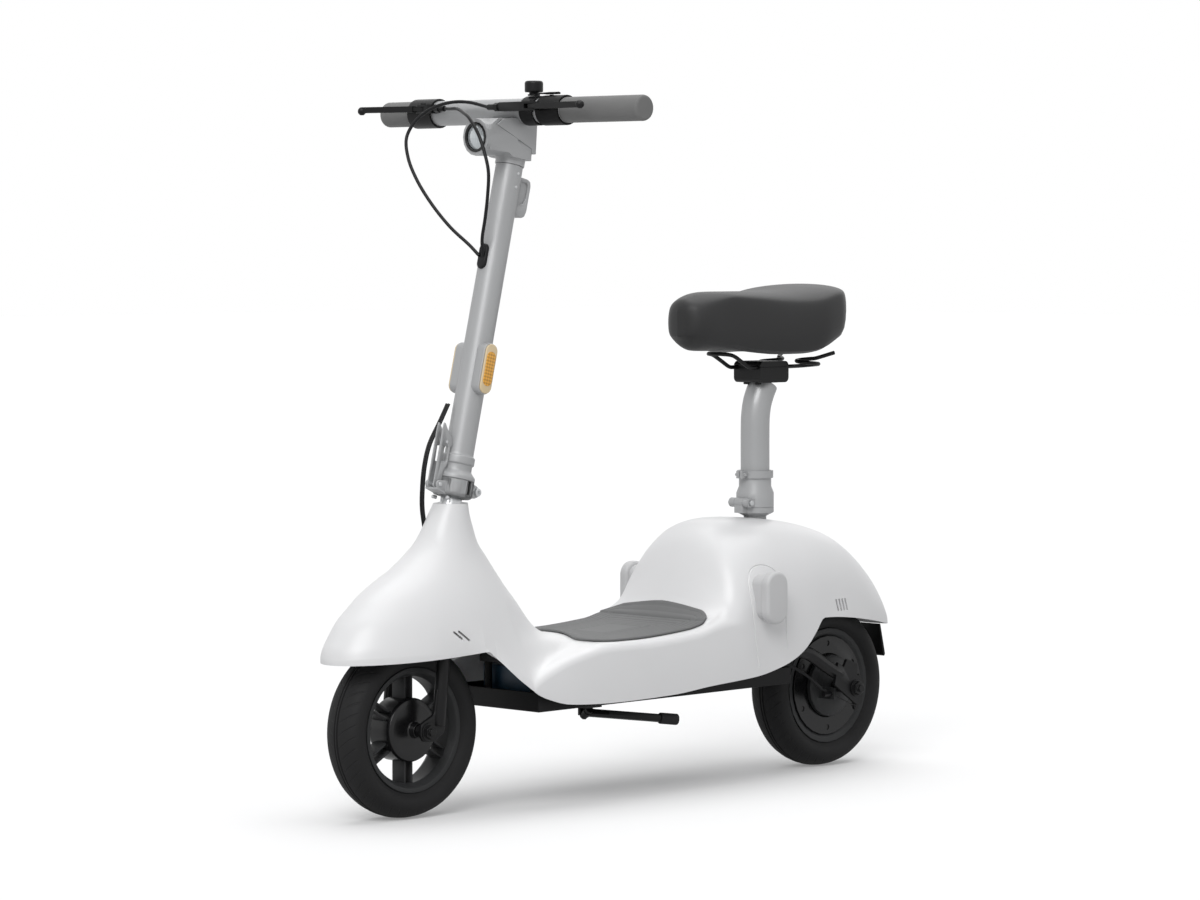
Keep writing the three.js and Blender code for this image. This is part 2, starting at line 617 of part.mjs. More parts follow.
function planPlace(row, column) {
  const y = bodyRows[row];
  const x = Math.sign(column) * acrossShares[Math.abs(column)] * halfWidthAt(y);
  const away = row - neckRow;
  const level = Math.max(Math.abs(away), Math.abs(column));
  if (level === 0 || level > 6) return [x, y];
  const side = Math.abs(column) >= Math.abs(away);
  const lean = (side ? away / level : column / level) * (Math.PI / 4);
  const radius = ringRadii[level];
  const round = side
    ? [Math.sign(column) * radius * Math.cos(lean), neckY + radius * Math.sin(lean)]
    : [radius * Math.sin(lean), neckY + Math.sign(away) * radius * Math.cos(lean)];
  const w = squareness[level];
  return [x * w + round[0] * (1 - w), y * w + round[1] * (1 - w)];
}

// A sheet closed over its own edge: two surfaces of the same rows and columns
function sheetSolid(outer, inner, pointedEnds = false) {
  const rows = outer.length;
  const columns = outer[0].length;
  const places = [];
  const put = (a, b, c) => [a, b, c].forEach((point) => places.push(...point));
  const quad = (a, b, c, d) => {
    put(a, b, c);
    put(a, c, d);
  };
  for (let i = 0; i + 1 < rows; i += 1) {
    for (let j = 0; j + 1 < columns; j += 1) {
      quad(outer[i][j], outer[i][j + 1], outer[i + 1][j + 1], outer[i + 1][j]);
      quad(inner[i][j], inner[i + 1][j], inner[i + 1][j + 1], inner[i][j + 1]);
    }
    quad(outer[i][0], outer[i + 1][0], inner[i + 1][0], inner[i][0]);
    const last = columns - 1;
    quad(outer[i][last], inner[i][last], inner[i + 1][last], outer[i + 1][last]);
  }
  for (let j = 0; !pointedEnds && j + 1 < columns; j += 1) {
    const end = rows - 1;
    quad(outer[0][j], inner[0][j], inner[0][j + 1], outer[0][j + 1]);
    quad(outer[end][j], outer[end][j + 1], inner[end][j + 1], inner[end][j]);
  }
  const geometry = new THREE.BufferGeometry();
  geometry.setAttribute('position', new THREE.BufferAttribute(new Float32Array(places), 3));
  return solid(mergeVertices(geometry, gap / 1000));
}

function surfaceNormal(x, y) {
  const step = deckRounding / 10;
  const slopeX = (surfaceZ(x + step, y) - surfaceZ(x - step, y)) / (2 * step);
  const slopeY = (surfaceZ(x, y + step) - surfaceZ(x, y - step)) / (2 * step);
  return new THREE.Vector3(-slopeX, -slopeY, 1).normalize();
}

function bodySurfaces() {
  const outer = [];
  const inner = [];
  const edge = acrossShares.length - 1;
  bodyRows.forEach((rowY, row) => {
    const above = [];
    const below = [];
    for (let column = -edge; column <= edge; column += 1) {
      const [x, y] = planPlace(row, column);
      const z = surfaceZ(x, y);
      const shrink = Math.max(0, 1 - shellWall / Math.max(halfWidthAt(rowY), shellWall));
      const inwardY = rowY < fairingCentreY || rowY > noseY + tailEllipse.centreBack
        ? Math.sign(fairingCentreY - rowY + (rowY > neckY ? -1 : 0)) : 0;
      const endness = 1 - Math.min(1, halfWidthAt(rowY) / (fairing.halfWidth * 0.7));
      const innerY = y + inwardY * shellWall * endness;
      const normal = surfaceNormal(x * 0.985, y);
      const thickness = Math.min(shellWall / Math.max(normal.z, 0.3), shellWall * 3);
      above.push([x, y, z]);
      below.push([x * shrink, innerY, Math.max(z - thickness, sillZ(rowY) + gap * 2)]);
    }
    const sill = sillZ(rowY);
    above.unshift([above[0][0], above[0][1], sill]);
    above.push([above[above.length - 1][0], above[above.length - 1][1], sill]);
    below.unshift([below[0][0], below[0][1], sill]);
    below.push([below[below.length - 1][0], below[below.length - 1][1], sill]);
    outer.push(above);
    inner.push(below);
  });
  return [outer, inner];
}

function slotCutter(x, y, z, lean, width, length) {
  const geometry = new THREE.BoxGeometry(slot.depth * 2, width, length);
  geometry.rotateX(lean);
  geometry.translate(x, y, z);
  return solid(geometry);
}

function bodyCutters() {
  const along = THREE.MathUtils.degToRad(52);
  const cutters = [];
  [1, -1].forEach((side) => {
    cutters.push(slotCutter(side * slotPlace.x, behind(slotPlace.first), slotPlace.firstZ,
      along, slot.width, slot.length));
    cutters.push(slotCutter(side * slotPlace.x, behind(slotPlace.second), slotPlace.secondZ,
      along, slot.width, slot.length * 1.25));
    for (let i = 0; i < vent.count; i += 1) {
      cutters.push(slotCutter(side * ventPlace.x, behind(ventPlace.back + i * vent.pitch),
        ventPlace.z, THREE.MathUtils.degToRad(20), vent.width, vent.length));
    }
  });
  cutters.push(inColumn(rod(neckBoreRadius, headTube.bottom, hinge.top, 'z', 32)));
  cutters.push(rod(seatBoreRadius, deckTopZ, seatNeck.flangeTop, 'z', 32,
    [0, behind(seatAxisBack), 0]));
  return cutters;
}

const shellRows = bodySurfaces();
addPiece('body_shell', without(sheetSolid(...shellRows, true), ...bodyCutters()), whiteMoulding);

// Foot mat, laid on the deck
const matRowShares = [-1, -0.9, -0.7, -0.3, 0.1, 0.5, 0.7, 0.86, 0.96, 1];
const matSteps = 4;

function matSheets() {
  const over = [];
  const under = [];
  const middle = (mat.front + mat.rear) / 2;
  const half = (mat.rear - mat.front) / 2;
  matRowShares.forEach((share) => {
    const y = behind(middle + share * half);
    const past = Math.max(0, Math.abs(share * half) - (half - mat.cornerRadius));
    const corner = mat.cornerRadius - Math.sqrt(Math.max(0, mat.cornerRadius ** 2 - past ** 2));
    const wide = Math.min(mat.halfWidth, halfWidthAt(y) - deckRounding) - corner;
    const above = [];
    const below = [];
    for (let k = -matSteps; k <= matSteps; k += 1) {
      const x = (k / matSteps) * wide;
      const z = surfaceZ(x, y) + mat.lift;
      above.push([x, y, z + mat.thickness]);
      below.push([x, y, z - mat.sink]);
    }
    over.push(above);
    under.push(below);
  });
  return [over, under];
}

// The body's outer form grown by the seating gap, which cuts whatever rests on it
const grownBody = sheetSolid(
  shellRows[0].map((row) => row.map(([x, y, z]) => [x * (1 + gap / bodyHalfWidth), y, z + gap])),
  shellRows[0].map((row) => row.map(([x, y]) => [x * (1 + gap / bodyHalfWidth), y, tray.bottom])),
  true,
);

addPiece('foot_mat', without(sheetSolid(...matSheets()), grownBody), matRubber);

// Leg pads beside the hump, each on a stalk that ends at the body's wall
function legPad() {
  const y = behind(pad.back);
  const face = plate(roundedOutline(pad.halfWidth, pad.halfHeight, pad.halfWidth * 0.9, y, pad.z),
    pad.faceX - pad.thickness, pad.faceX, 'x');
  const stalk = plate(
    roundedOutline(padStalk.halfWidth, padStalk.halfHeight, padStalk.halfWidth * 0.9, y, pad.z),
    bodyHalfWidth - padStalk.sink, pad.faceX - pad.thickness / 2, 'x',
  );
  return joined(face, stalk);
}
const leftPad = legPad();
addPiece('side_pad_left', without(leftPad, grownBody), greyMoulding);
addPiece('side_pad_right', without(mirrored(leftPad), grownBody), greyMoulding);

// Open-topped belly tray and the battery in it
const trayOutline = (inset, lift) => outline([
  [behind(tray.front + inset), tray.frontBottom + lift],
  [behind(tray.rear - inset), tray.bottom + lift],
  [behind(tray.rear - inset), tray.top + lift],
  [behind(tray.front + inset), tray.top + lift],
]);
const traySlope = (tray.frontBottom - tray.bottom) / (tray.rear - tray.front);
const trayFloor = (back) => tray.frontBottom - traySlope * (back - tray.front) + tray.wall;
const trayPosts = [tray.frontPost, tray.rearPost].flatMap((back) => [1, -1].map((side) => rod(
  tray.postRadius, trayFloor(back) - tray.wall / 2, rail.z - rail.size / 2 - gap, 'z', 8,
  [side * rail.x, behind(back), 0],
)));
addPiece('belly_tray', joined(without(
  plate(trayOutline(0, 0), -tray.half, tray.half, 'x'),
  plate(trayOutline(tray.wall, tray.wall), tray.wall - tray.half, tray.half - tray.wall, 'x'),
), ...trayPosts), blackPlastic);

const batteryMiddle = behind((battery.rear + battery.front) / 2);
addPiece('battery_pack', plate(
  roundedOutline(battery.half, (battery.rear - battery.front) / 2, deckRounding, 0, batteryMiddle),
  trayFloor(battery.rear) + gap, battery.top, 'z',
), batteryWrap);

// Welded frame: head tube, down tube, two rails and the seat tube
function mainFrame() {
  const head = inColumn(rod(headTube.radius, headTube.bottom, headTube.top, 'z', 16));
  const bore = inColumn(rod(headTube.bore, headTube.bottom - gap, headTube.top + gap, 'z', 16));
  const footY = behind(downTube.footBack);
  const down = tube([
    onColumn(0, 0, downTube.topAlong),
    [0, footY - downTube.radius * 3, downTube.footZ + downTube.radius * 2],
    [0, footY, downTube.footZ],
  ], downTube.radius, 12, 5);
  const half = rail.size / 2;
  const rails = [1, -1].map((side) => block(half, behind(rail.front), behind(rail.rear),
    rail.z - half, rail.z + half, side * rail.x));
  const front = block(rail.x, behind(rail.front), behind(rail.front) + rail.size,
    rail.z - half, rail.z + half);
  const rear = block(rail.x, behind(seatAxisBack) - half, behind(seatAxisBack) + half,
    rail.z - half, rail.z + half);
  const seatTube = rod(seatNeck.tube, rail.z - half, seatNeck.bottom - gap, 'z', 16,
    [0, behind(seatAxisBack), 0]);
  return without(joined(head, down, ...rails, front, rear, seatTube), bore);
}
addPiece('main_frame', mainFrame(), blackMetal);

const headBearing = (along) => inColumn(ring(bearing.outer, bearing.bore, along,
  along + bearing.height, 'z', 16));
addPiece('headset_bearing_upper', headBearing(headTube.top + gap), brightMetal);
addPiece('headset_bearing_lower', headBearing(headTube.bottom - gap - bearing.height), brightMetal);

// Rear arms with their dropout plates
function rearArms() {
  const cross = rod(rearArm.crossRadius, -rearArm.x, rearArm.x, 'x', 8,
    [0, behind(rearArm.crossBack), rearArm.crossZ]);
  const lugs = [1, -1].map((side) => block(rail.size / 2, behind(rearArm.crossBack) - rail.size / 2,
    behind(rearArm.crossBack) + rail.size / 2, rearArm.crossZ, rail.z - rail.size / 2 - gap,
    side * rail.x));
  const arms = [1, -1].map((side) => tube(
    rearArmRoute.map(([back, z]) => [side * rearArm.x, behind(back), z]), rearArm.radius, 10, 6,
  ));
  const shape = outline(armPlateOutline.map(([back, z]) => [behind(back), z]));
  const plates = [1, -1].map((side) => plate(shape, side * armPlate.x - armPlate.thickness / 2,
    side * armPlate.x + armPlate.thickness / 2, 'x'));
  const axleHole = rod(rearAxle.radius + gap, -bodyHalfWidth, bodyHalfWidth, 'x', 10,
    [0, rearAxleY, axleZ]);
  return without(joined(cross, ...lugs, ...arms, ...plates), axleHole);
}
addPiece('rear_arms', rearArms(), blackMetal);

// Axles, each with washers, hexagonal nuts and spacer sleeves
function axleBody(size, seat, sleeves, centre) {
  const shaft = rod(size.radius, -size.half, size.half, 'x', 8, centre);
  const ends = [1, -1].map((side) => joined(
    rod(size.washer, side * seat, side * (seat + size.washerThickness), 'x', 16, centre),
    rod(size.nutRadius, side * (seat + gap), side * (seat + size.nutLength), 'x', 6, centre),
  ));
  const spacers = sleeves.map(([from, to]) => rod(size.spacer, from, to, 'x', 8, centre));
  return joined(shaft, ...ends, ...spacers);
}
const plateFace = armPlate.x + armPlate.thickness / 2;
const plateBack = armPlate.x - armPlate.thickness / 2;
addPiece('rear_axle', axleBody(rearAxle, plateFace + gap, [
  [drumFace + gap, plateBack - gap], [gap - plateBack, -rearHubFace - gap],
], [0, rearAxleY, axleZ]), brightMetal);

// Fixed backplate of the drum brake, with the cam boss and the post that stops the cable
const cableX = cam.x + brakeArm.half + gap + adjuster.wire;
const besideAxle = (x, back, z) => [x, behind(back), z];

function backplate() {
  const disc = turned(backplateProfile, 'x', 16, [0, rearAxleY, axleZ]);
  const boss = rod(cam.radius, cam.inner, cam.x - brakeArm.half - gap, 'x', 10,
    besideAxle(0, cam.back, cam.z));
  const post = block((cablePost.outer - cablePost.inner) / 2,
    behind(cablePost.back - cablePost.half), behind(cablePost.back + cablePost.half),
    cablePost.z - cablePost.halfHeight, cablePost.z + cablePost.halfHeight,
    (cablePost.outer + cablePost.inner) / 2);
  const hole = rod(cablePost.hole, behind(cablePost.back) - cablePost.halfHeight,
    behind(cablePost.back) + cablePost.halfHeight, 'y', 8, [cableX, 0, cablePost.z]);
  return without(joined(disc, boss, post), hole);
}
addPiece('brake_backplate', backplate(), silverPaint);

function brakeArmBody() {
  const from = cam.x - brakeArm.half;
  const to = cam.x + brakeArm.half;
  const eye = rod(brakeArm.eye, from, to, 'x', 16, besideAxle(0, cam.back, cam.z));
  const end = rod(brakeArm.endRadius, from, to, 'x', 10,
    besideAxle(0, brakeArm.endBack, brakeArm.endZ));
  const web = plate(outline([
    [behind(cam.back - brakeArm.eye), cam.z], [behind(cam.back + brakeArm.eye), cam.z],
    [behind(brakeArm.endBack + brakeArm.endRadius), brakeArm.endZ],
    [behind(brakeArm.endBack - brakeArm.endRadius), brakeArm.endZ],
  ]), from, to, 'x');
  const bolt = rod(brakeArm.boltRadius, from - brakeArm.half, from, 'x', 8,
    besideAxle(0, brakeArm.endBack, brakeArm.endZ));
  const nut = rod(cam.radius * 0.8, to, to + brakeArm.half * 2, 'x', 6,
    besideAxle(0, cam.back, cam.z));
  return joined(eye, end, web, bolt, nut);
}
addPiece('brake_arm', brakeArmBody(), blackMetal);

// Rear brake cable, with the barrel against the post and the bare wire beyond it
function rearCable() {
  const stop = behind(cablePost.back - cablePost.half) - gap;
  const slope = (cablePost.z - brakeArm.endZ) / (brakeArm.endBack - cablePost.back);
  const casing = tube([
    ...rearCableRoute.map(([x, back, z]) => besideAxle(x, back, z)),
    [cableX, stop - adjuster.length, cablePost.z + slope * adjuster.length],
    [cableX, stop - adjuster.length / 2, cablePost.z + (slope * adjuster.length) / 2],
  ], adjuster.cableRadius, 8, 14);
  const barrel = rod(adjuster.radius, stop - adjuster.length * 0.75, stop, 'y', 8,
    [cableX, 0, cablePost.z]);
  const inner = strut([cableX, stop - gap, cablePost.z],
    [cableX, behind(brakeArm.endBack), brakeArm.endZ], adjuster.wire, 6);
  return joined(casing, barrel, inner);
}
addPiece('brake_cable_rear', rearCable(), blackPlastic);

// Wheels: each turns on its own group at the axle
const frontCentre = [0, frontAxleY, axleZ];
const rearCentre = [0, rearAxleY, axleZ];

function tyreBody(centre) {
  const outer = tyreProfile.slice(0, -1);
  const inner = tyreInnerProfile.slice(1).reverse();
  const flipped = (rows) => rows.map(([radius, along]) => [radius, -along]);
  const crown = tyreProfile[tyreProfile.length - 1];
  const cavity = tyreInnerProfile[0];
  const profile = [...outer, crown, ...flipped(outer).reverse(), ...flipped(inner), cavity,
    ...inner.slice().reverse(), outer[0]];
  return turned(profile, 'x', wheelSides, centre);
}

function ribPairs(centre) {
  const ribs = [];
  for (let i = 0; i < spoke.pairs; i += 1) {
    [1, -1].forEach((side) => {
      const middle = (side * spoke.spacing) / 2;
      const rib = block(spoke.halfWidth, middle - spoke.thickness / 2,
        middle + spoke.thickness / 2, spoke.inner, spoke.outer);
      ribs.push(rib.rotate([(i * 360) / spoke.pairs, 0, 0]).translate(centre));
    });
  }
  return ribs;
}
const frontRim = joined(turned(rimProfile, 'x', wheelSides, frontCentre),
  turned(hubProfile, 'x', 16, frontCentre), ...ribPairs(frontCentre));
addPiece('front_tyre', tyreBody(frontCentre), tyreRubber);
addPiece('front_rim', frontRim, darkWheel);
addPiece('front_bearing_set', turned(bearingProfile, 'x', 14, frontCentre), brightMetal);
addPiece('rear_tyre', tyreBody(rearCentre), tyreRubber);
addPiece('rear_rim', turned(rearRimProfile, 'x', wheelSides, rearCentre), darkWheel);

function coverBody() {
  const disc = ring(hubCover.outer, hubCover.inner, hubCover.front, hubCover.rear, 'x', wheelSides,
    rearCentre);
  const sinks = Array.from({ length: hubCover.screws }, (_, i) => {
    const angle = ((i + 0.5) * 2 * Math.PI) / hubCover.screws;
    return rod(hubCover.screw, hubCover.rear - hubCover.sink, hubCover.rear + gap, 'x', 8, [0,
      rearAxleY + hubCover.screwRing * Math.cos(angle), axleZ + hubCover.screwRing * Math.sin(angle)]);
  });
  return without(disc, ...sinks);
}
addPiece('rear_hub_cover', coverBody(), blackMetal);

// Mudflap under the tail
addPiece('mudflap', plate(outline(mudflapOutline.map(([back, z]) => [behind(back), z])),
  -mudflap.half, mudflap.half, 'x'), blackPlastic);

// Kickstand on a slanted pivot under the tray
const kickPivot = new THREE.Vector3(kickstand.x, behind(kickstand.back), kickstand.z);
const alongKick = (distance) => kickPivot.clone().addScaledVector(kickAxis, distance).toArray();
const downLeg = (distance) => kickPivot.clone().addScaledVector(kickStowed, distance).toArray();

function kickBracket() {
  const y = behind(kickstand.back);
  const top = trayFloor(kickstand.back + kickstand.bracketHalf) - tray.wall - gap;
  const base = block(kickstand.bracketHalf, y - kickstand.bracketHalf, y + kickstand.bracketHalf,
    top - kickstand.bracketThickness, top, kickstand.x);
  const cheeks = [-1, 1].map((side) => strut(alongKick(side * kickstand.cheekNear),
    alongKick(side * kickstand.cheekFar), kickstand.cheek, 8));
  const [x, , z] = alongKick(kickstand.cheekFar - kickstand.cheekRoot);
  const root = block(kickstand.cheekRoot, y - kickstand.cheek, y + kickstand.cheek, z, top,
    x - kickstand.cheekRoot);
  const pin = strut(alongKick(-kickstand.cheekFar), alongKick(kickstand.cheekFar),
    kickstand.pin, 8);
  const eyeSpace = strut(alongKick(-kickstand.cheekNear), alongKick(kickstand.cheekNear),
    kickstand.eye + 1, 8);
  return joined(without(joined(base, ...cheeks, root), eyeSpace), pin);
}
addPiece('kickstand_bracket', kickBracket(), blackMetal);

function kickLeg() {
  const eye = strut(alongKick(-kickstand.eyeHalf), alongKick(kickstand.eyeHalf), kickstand.eye, 12);
  const leg = strut(downLeg(0), downLeg(kickstand.reach), kickstand.legRadius, 8);
  const pinHole = strut(alongKick(-kickstand.cheekFar), alongKick(kickstand.cheekFar),
    kickstand.pin + gap, 8);
  const trim = strut(alongKick(-kickstand.cheekFar), alongKick(-kickstand.eyeHalf),
    kickstand.reach / 4, 8);
  const otherTrim = strut(alongKick(kickstand.eyeHalf), alongKick(kickstand.cheekFar),
    kickstand.eye + 2, 8);
  return without(joined(without(leg, trim, otherTrim), eye), pinHole);
}
addPiece('kickstand_leg', kickLeg(), blackMetal);
addPiece('kickstand_foot', without(
  strut(downLeg(kickstand.reach - kickstand.footLength), downLeg(kickstand.reach + kickstand.footCap),
    kickstand.footRadius, 12),
  strut(downLeg(0), downLeg(kickstand.reach + gap), kickstand.legRadius + gap, 8),
), tyreRubber);

// Fork and steerer, one weldment
function forkBody() {
  const legTop = [behind(fork.topBack), fork.crownZ + fork.legRadius / 2];
  const legFoot = [behind(fork.footBack), fork.footZ];
  const steerer = inColumn(rod(steererRadius, fork.steererFrom, hinge.bottom - gap, 'z', 16));
  const bossTop = headTube.bottom - bearing.height - 2 * gap;
  const boss = inColumn(rod(bearing.outer, bossTop - fork.crownBoss, bossTop, 'z', 16));
  const crown = plate(
    roundedOutline(fork.crownHalf, (fork.crownRear - fork.crownFront) / 2, fork.legRadius, 0,
      behind((fork.crownFront + fork.crownRear) / 2)),
    fork.crownZ, fork.crownZ + fork.crownThickness, 'z',
  );
  const legs = [1, -1].map((side) => strut([side * fork.legX, ...legTop],
    [side * fork.legX, ...legFoot], fork.legRadius, 10));
  const { reach } = dropout;
  const [footY, footZ] = legFoot;
  const shape = outline([
    [frontAxleY - reach, axleZ - reach * 0.3], [frontAxleY - reach * 0.6, axleZ - reach * 0.9],
    [frontAxleY + reach * 0.7, axleZ - reach], [footY + fork.legRadius, axleZ - reach * 0.2],
    [footY + fork.legRadius * 1.6, axleZ + dropout.height],
    [footY - fork.legRadius * 0.4, axleZ + dropout.height],
    [footY - fork.legRadius, footZ + reach], [frontAxleY - reach, axleZ + reach * 0.8],
  ]);
  const plates = [1, -1].map((side) => plate(shape, side * fork.legX - dropout.thickness / 2,
    side * fork.legX + dropout.thickness / 2, 'x'));
  const axleHole = rod(frontAxle.radius + gap, -fork.crownHalf, fork.crownHalf, 'x', 10, frontCentre);
  const nutSpace = [1, -1].map((side) => rod(frontAxle.washer + 1,
    side * (fork.legX + dropout.thickness / 2), side * fork.crownHalf * 1.1, 'x', 16, frontCentre));
  const wheelSpace = rod(fork.legRadius * 3, dropout.thickness / 2 - fork.legX,
    fork.legX - dropout.thickness / 2, 'x', 16, frontCentre);
  const lower = without(joined(...legs, ...plates), ...nutSpace, wheelSpace);
  return without(joined(steerer, boss, crown, lower), axleHole);
}
addPiece('fork', forkBody(), blackMetal);

const forkFace = fork.legX + dropout.thickness / 2;
const hubBossX = hubProfile[1][1] + gap;
const forkBack = fork.legX - dropout.thickness / 2 - gap;
addPiece('front_axle', axleBody(frontAxle, forkFace + gap,
  [[hubBossX, forkBack], [-forkBack, -hubBossX]], frontCentre), blackMetal);

// Folding hinge on the steerer
const shapeInColumn = (rows) => outline(rows);
const columnRod = (radius, from, to, back, along, sides = 16) =>
  rod(radius, from, to, 'x', sides, [0, back, along]);

function hingeBase() {
  const puck = rod(hinge.radius, hinge.bottom, hinge.top, 'z', 16);
  const knuckles = [1, -1].map((side) => joined(
    columnRod(hinge.barrel, side * (hinge.knuckle + gap), side * hinge.pinHalf, hinge.pinBack,
      hinge.pinAlong, 10),
  ));
  const knuckleSpace = columnRod(hinge.barrel + 2 * gap, -hinge.knuckle - gap, hinge.knuckle + gap,
    hinge.pinBack, hinge.pinAlong, 10);
  const pinHole = columnRod(hinge.pinRadius + gap, -hinge.radius, hinge.radius, hinge.pinBack,
    hinge.pinAlong, 8);
  const cheek = latch.half - latch.wall - gap;
  const boss = plate(shapeInColumn([
    [-hinge.radius + hinge.latchBoss, hinge.bottom], [-hinge.radius + hinge.latchBoss, hinge.top],
    [hinge.latchBack, hinge.latchAlong + hinge.latchBoss],
    [hinge.latchBack - hinge.latchBoss, hinge.latchAlong],
    [hinge.latchBack, hinge.latchAlong - hinge.latchBoss],
  ]), -cheek, cheek, 'x');
  const pin = columnRod(hinge.latchPin, -latch.half - gap * 2, latch.half + gap * 2,
    hinge.latchBack, hinge.latchAlong, 8);
  const webSpace = block(hinge.knuckle + gap, hinge.pinBack - hinge.barrel - 2 * gap,
    hinge.pinBack + hinge.barrel, hinge.pinAlong, hinge.top + gap);
  return inColumn(joined(
    without(joined(puck, ...knuckles), knuckleSpace, webSpace, pinHole), boss, pin,
  ));
}
addPiece('stem_hinge_base', hingeBase(), silverPaint);
addPiece('stem_hinge_pin', inColumn(columnRod(hinge.pinRadius, -hinge.pinHalf - 2, hinge.pinHalf + 2,
  hinge.pinBack, hinge.pinAlong, 8)), brightMetal);

// Latch lever: a channel that pivots low on the base and holds the stem's knob
function latchLever() {
  const shape = [
    [hinge.latchBack - hinge.latchBoss - 3, latch.bottom], [hinge.latchBack, latch.bottom - 4],
    [latch.heel, latch.bottom + 4], [latch.rear, hinge.top + 2], [latch.rear, latch.knobAlong],
    [latch.rear - 4, latch.knobAlong + 14], [latch.topFront + 6, latch.top],
    [latch.topFront, latch.top], [latch.front, latch.knobAlong],
  ];
  const body = plate(shapeInColumn(shape), -latch.half, latch.half, 'x');
  const inner = shape.map(([back, along], i) => (i === 0 || i > 6
    ? [back + latch.wall, along] : [back + latch.wall * 3, along]));
  inner[6] = [latch.topFront + 7, latch.top - latch.wall];
  inner[7] = [latch.topFront + latch.wall, latch.top - latch.wall];
  inner[1] = [hinge.latchBack, latch.bottom - 12];
  inner[0] = [hinge.latchBack - hinge.latchBoss - 3 + latch.wall, latch.bottom - 8];
  const channel = plate(shapeInColumn(inner), latch.wall - latch.half, latch.half - latch.wall, 'x');
  const pinHole = columnRod(hinge.latchPin + gap, -latch.half * 2, latch.half * 2, hinge.latchBack,
    hinge.latchAlong, 8);
  const window = plate(roundedOutline(4, 9, 3, -46, 378), -latch.half * 2, latch.half * 2, 'x', 2);
  return inColumn(without(body, channel, pinHole, window));
}
addPiece('latch_lever', latchLever(), silverPaint);

// Folding stem: cup, collar and tube, with the reflector seats, the knob and four screws
function stemTube() {
  const pole = turned([
    [0, hinge.top + gap], [stem.cupRadius, hinge.top + gap], [stem.cupRadius, stem.cupTop],
    [stem.collarRadius - 2, stem.collarBottom - 2], [stem.collarRadius, stem.collarBottom],
    [stem.collarRadius, stem.collarTop], [stem.radius + 1, stem.coneTop],
    [stem.radius, stem.coneTop + 4], [stem.topRadius, stem.top - gap],
    [stem.bore, stem.top - gap], [stem.bore, stem.boreFrom], [0, stem.boreFrom],
  ], 'z', 16);
  const barrelSpace = [1, -1].map((side) => columnRod(hinge.barrel + 2 * gap,
    side * (hinge.knuckle - gap), side * stem.cupRadius, hinge.pinBack, hinge.pinAlong, 10));
  const barrel = columnRod(hinge.barrel, gap - hinge.knuckle, hinge.knuckle - gap, hinge.pinBack,
    hinge.pinAlong, 10);
  const web = plate(outline([
    [hinge.pinBack - hinge.barrel + 3, hinge.top + gap], [hinge.pinBack + hinge.barrel - 1,
      hinge.pinAlong + 2], [stem.collarRadius, stem.cupTop], [stem.radius, stem.cupTop],
  ]), gap - hinge.knuckle, hinge.knuckle - gap, 'x');
  const pinHole = columnRod(turningHole(hinge.pinRadius, 8), -stem.cupRadius, stem.cupRadius,
    hinge.pinBack, hinge.pinAlong, 8);
  const knob = plate(roundedOutline((-latch.knobFront - stem.bore) / 2, latch.knobDepth,
    latch.knobDepth * 0.9, (latch.knobFront - stem.bore) / 2, latch.knobAlong),
  -latch.knobHalf, latch.knobHalf, 'x');
  const seatShape = roundedOutline(reflector.half, reflector.halfHeight, reflector.half * 0.98,
    reflector.back, reflector.along);
  const seats = plate(seatShape, gap - reflector.standX, reflector.standX - gap, 'x', 4);
  const bore = rod(stem.bore, stem.boreFrom, stem.top, 'z', 16);
  const screws = [stemScrew.lower, stemScrew.upper].map((along) => rod(stemScrew.radius,
    -stem.topRadius - stemScrew.stand, stem.topRadius + stemScrew.stand, 'x', 8,
    [0, stemScrew.back, along]));
  return inColumn(joined(
    without(joined(without(pole, ...barrelSpace), barrel, web, knob, seats, ...screws), bore, pinHole),
  ));
}
addPiece('stem_tube', stemTube(), silverPaint);

function reflectorLens() {
  const shape = roundedOutline(reflector.half, reflector.halfHeight, reflector.half * 0.98,
    reflector.back, reflector.along);
  return inColumn(plate(shape, reflector.standX, reflector.standX + reflector.lensThickness, 'x'));
}
const leftLens = reflectorLens();
addPiece('reflector_lens_left', leftLens, amberLens);
addPiece('reflector_lens_right', mirrored(leftLens), amberLens);

// Head: sleeve on the tube, headlight barrel and flat cheeks under the bar
const barCentre = [0, behind(bar.back), barHeight];
const sideOutline = (rows) => outline(rows.map(([back, z]) => [behind(back), z]));
const barSpace = rod(bar.radius + gap, -barHalfLength, barHalfLength, 'x', 24, barCentre);
const podShape = [...podSplit, ...podRear];

function headCasting() {
  const sleeve = inColumn(rod(head.sleeveRadius, stem.top, head.topAlong, 'z', 16));
  const barrel = rod(head.barrelRadius, behind(head.barrelFront), behind(head.barrelRear), 'y', 16,
    [0, 0, head.barrelZ]);
  const cheeks = plate(sideOutline(headSide), -head.half, head.half, 'x');
  const podSpace = plate(sideOutline(podShape.map(([back, z], i) => (i === 0
    ? [back - gap * 2, z] : [back - (i < 3 ? gap : -9), z + (i > 3 ? 9 : 0)]))),
  -stem.cupRadius * 2, stem.cupRadius * 2, 'x');
  const mouth = rod(headlight.radius + gap, behind(head.barrelFront) - gap,
    behind(head.barrelFront) + headlight.depth + gap, 'y', 16, [0, 0, head.barrelZ]);
  return without(joined(sleeve, barrel, cheeks), podSpace, mouth, barSpace);
}
addPiece('head_casting', headCasting(), silverPaint);
addPiece('display_pod', without(plate(sideOutline(podShape), -display.half, display.half, 'x'),
  barSpace), silverPaint);

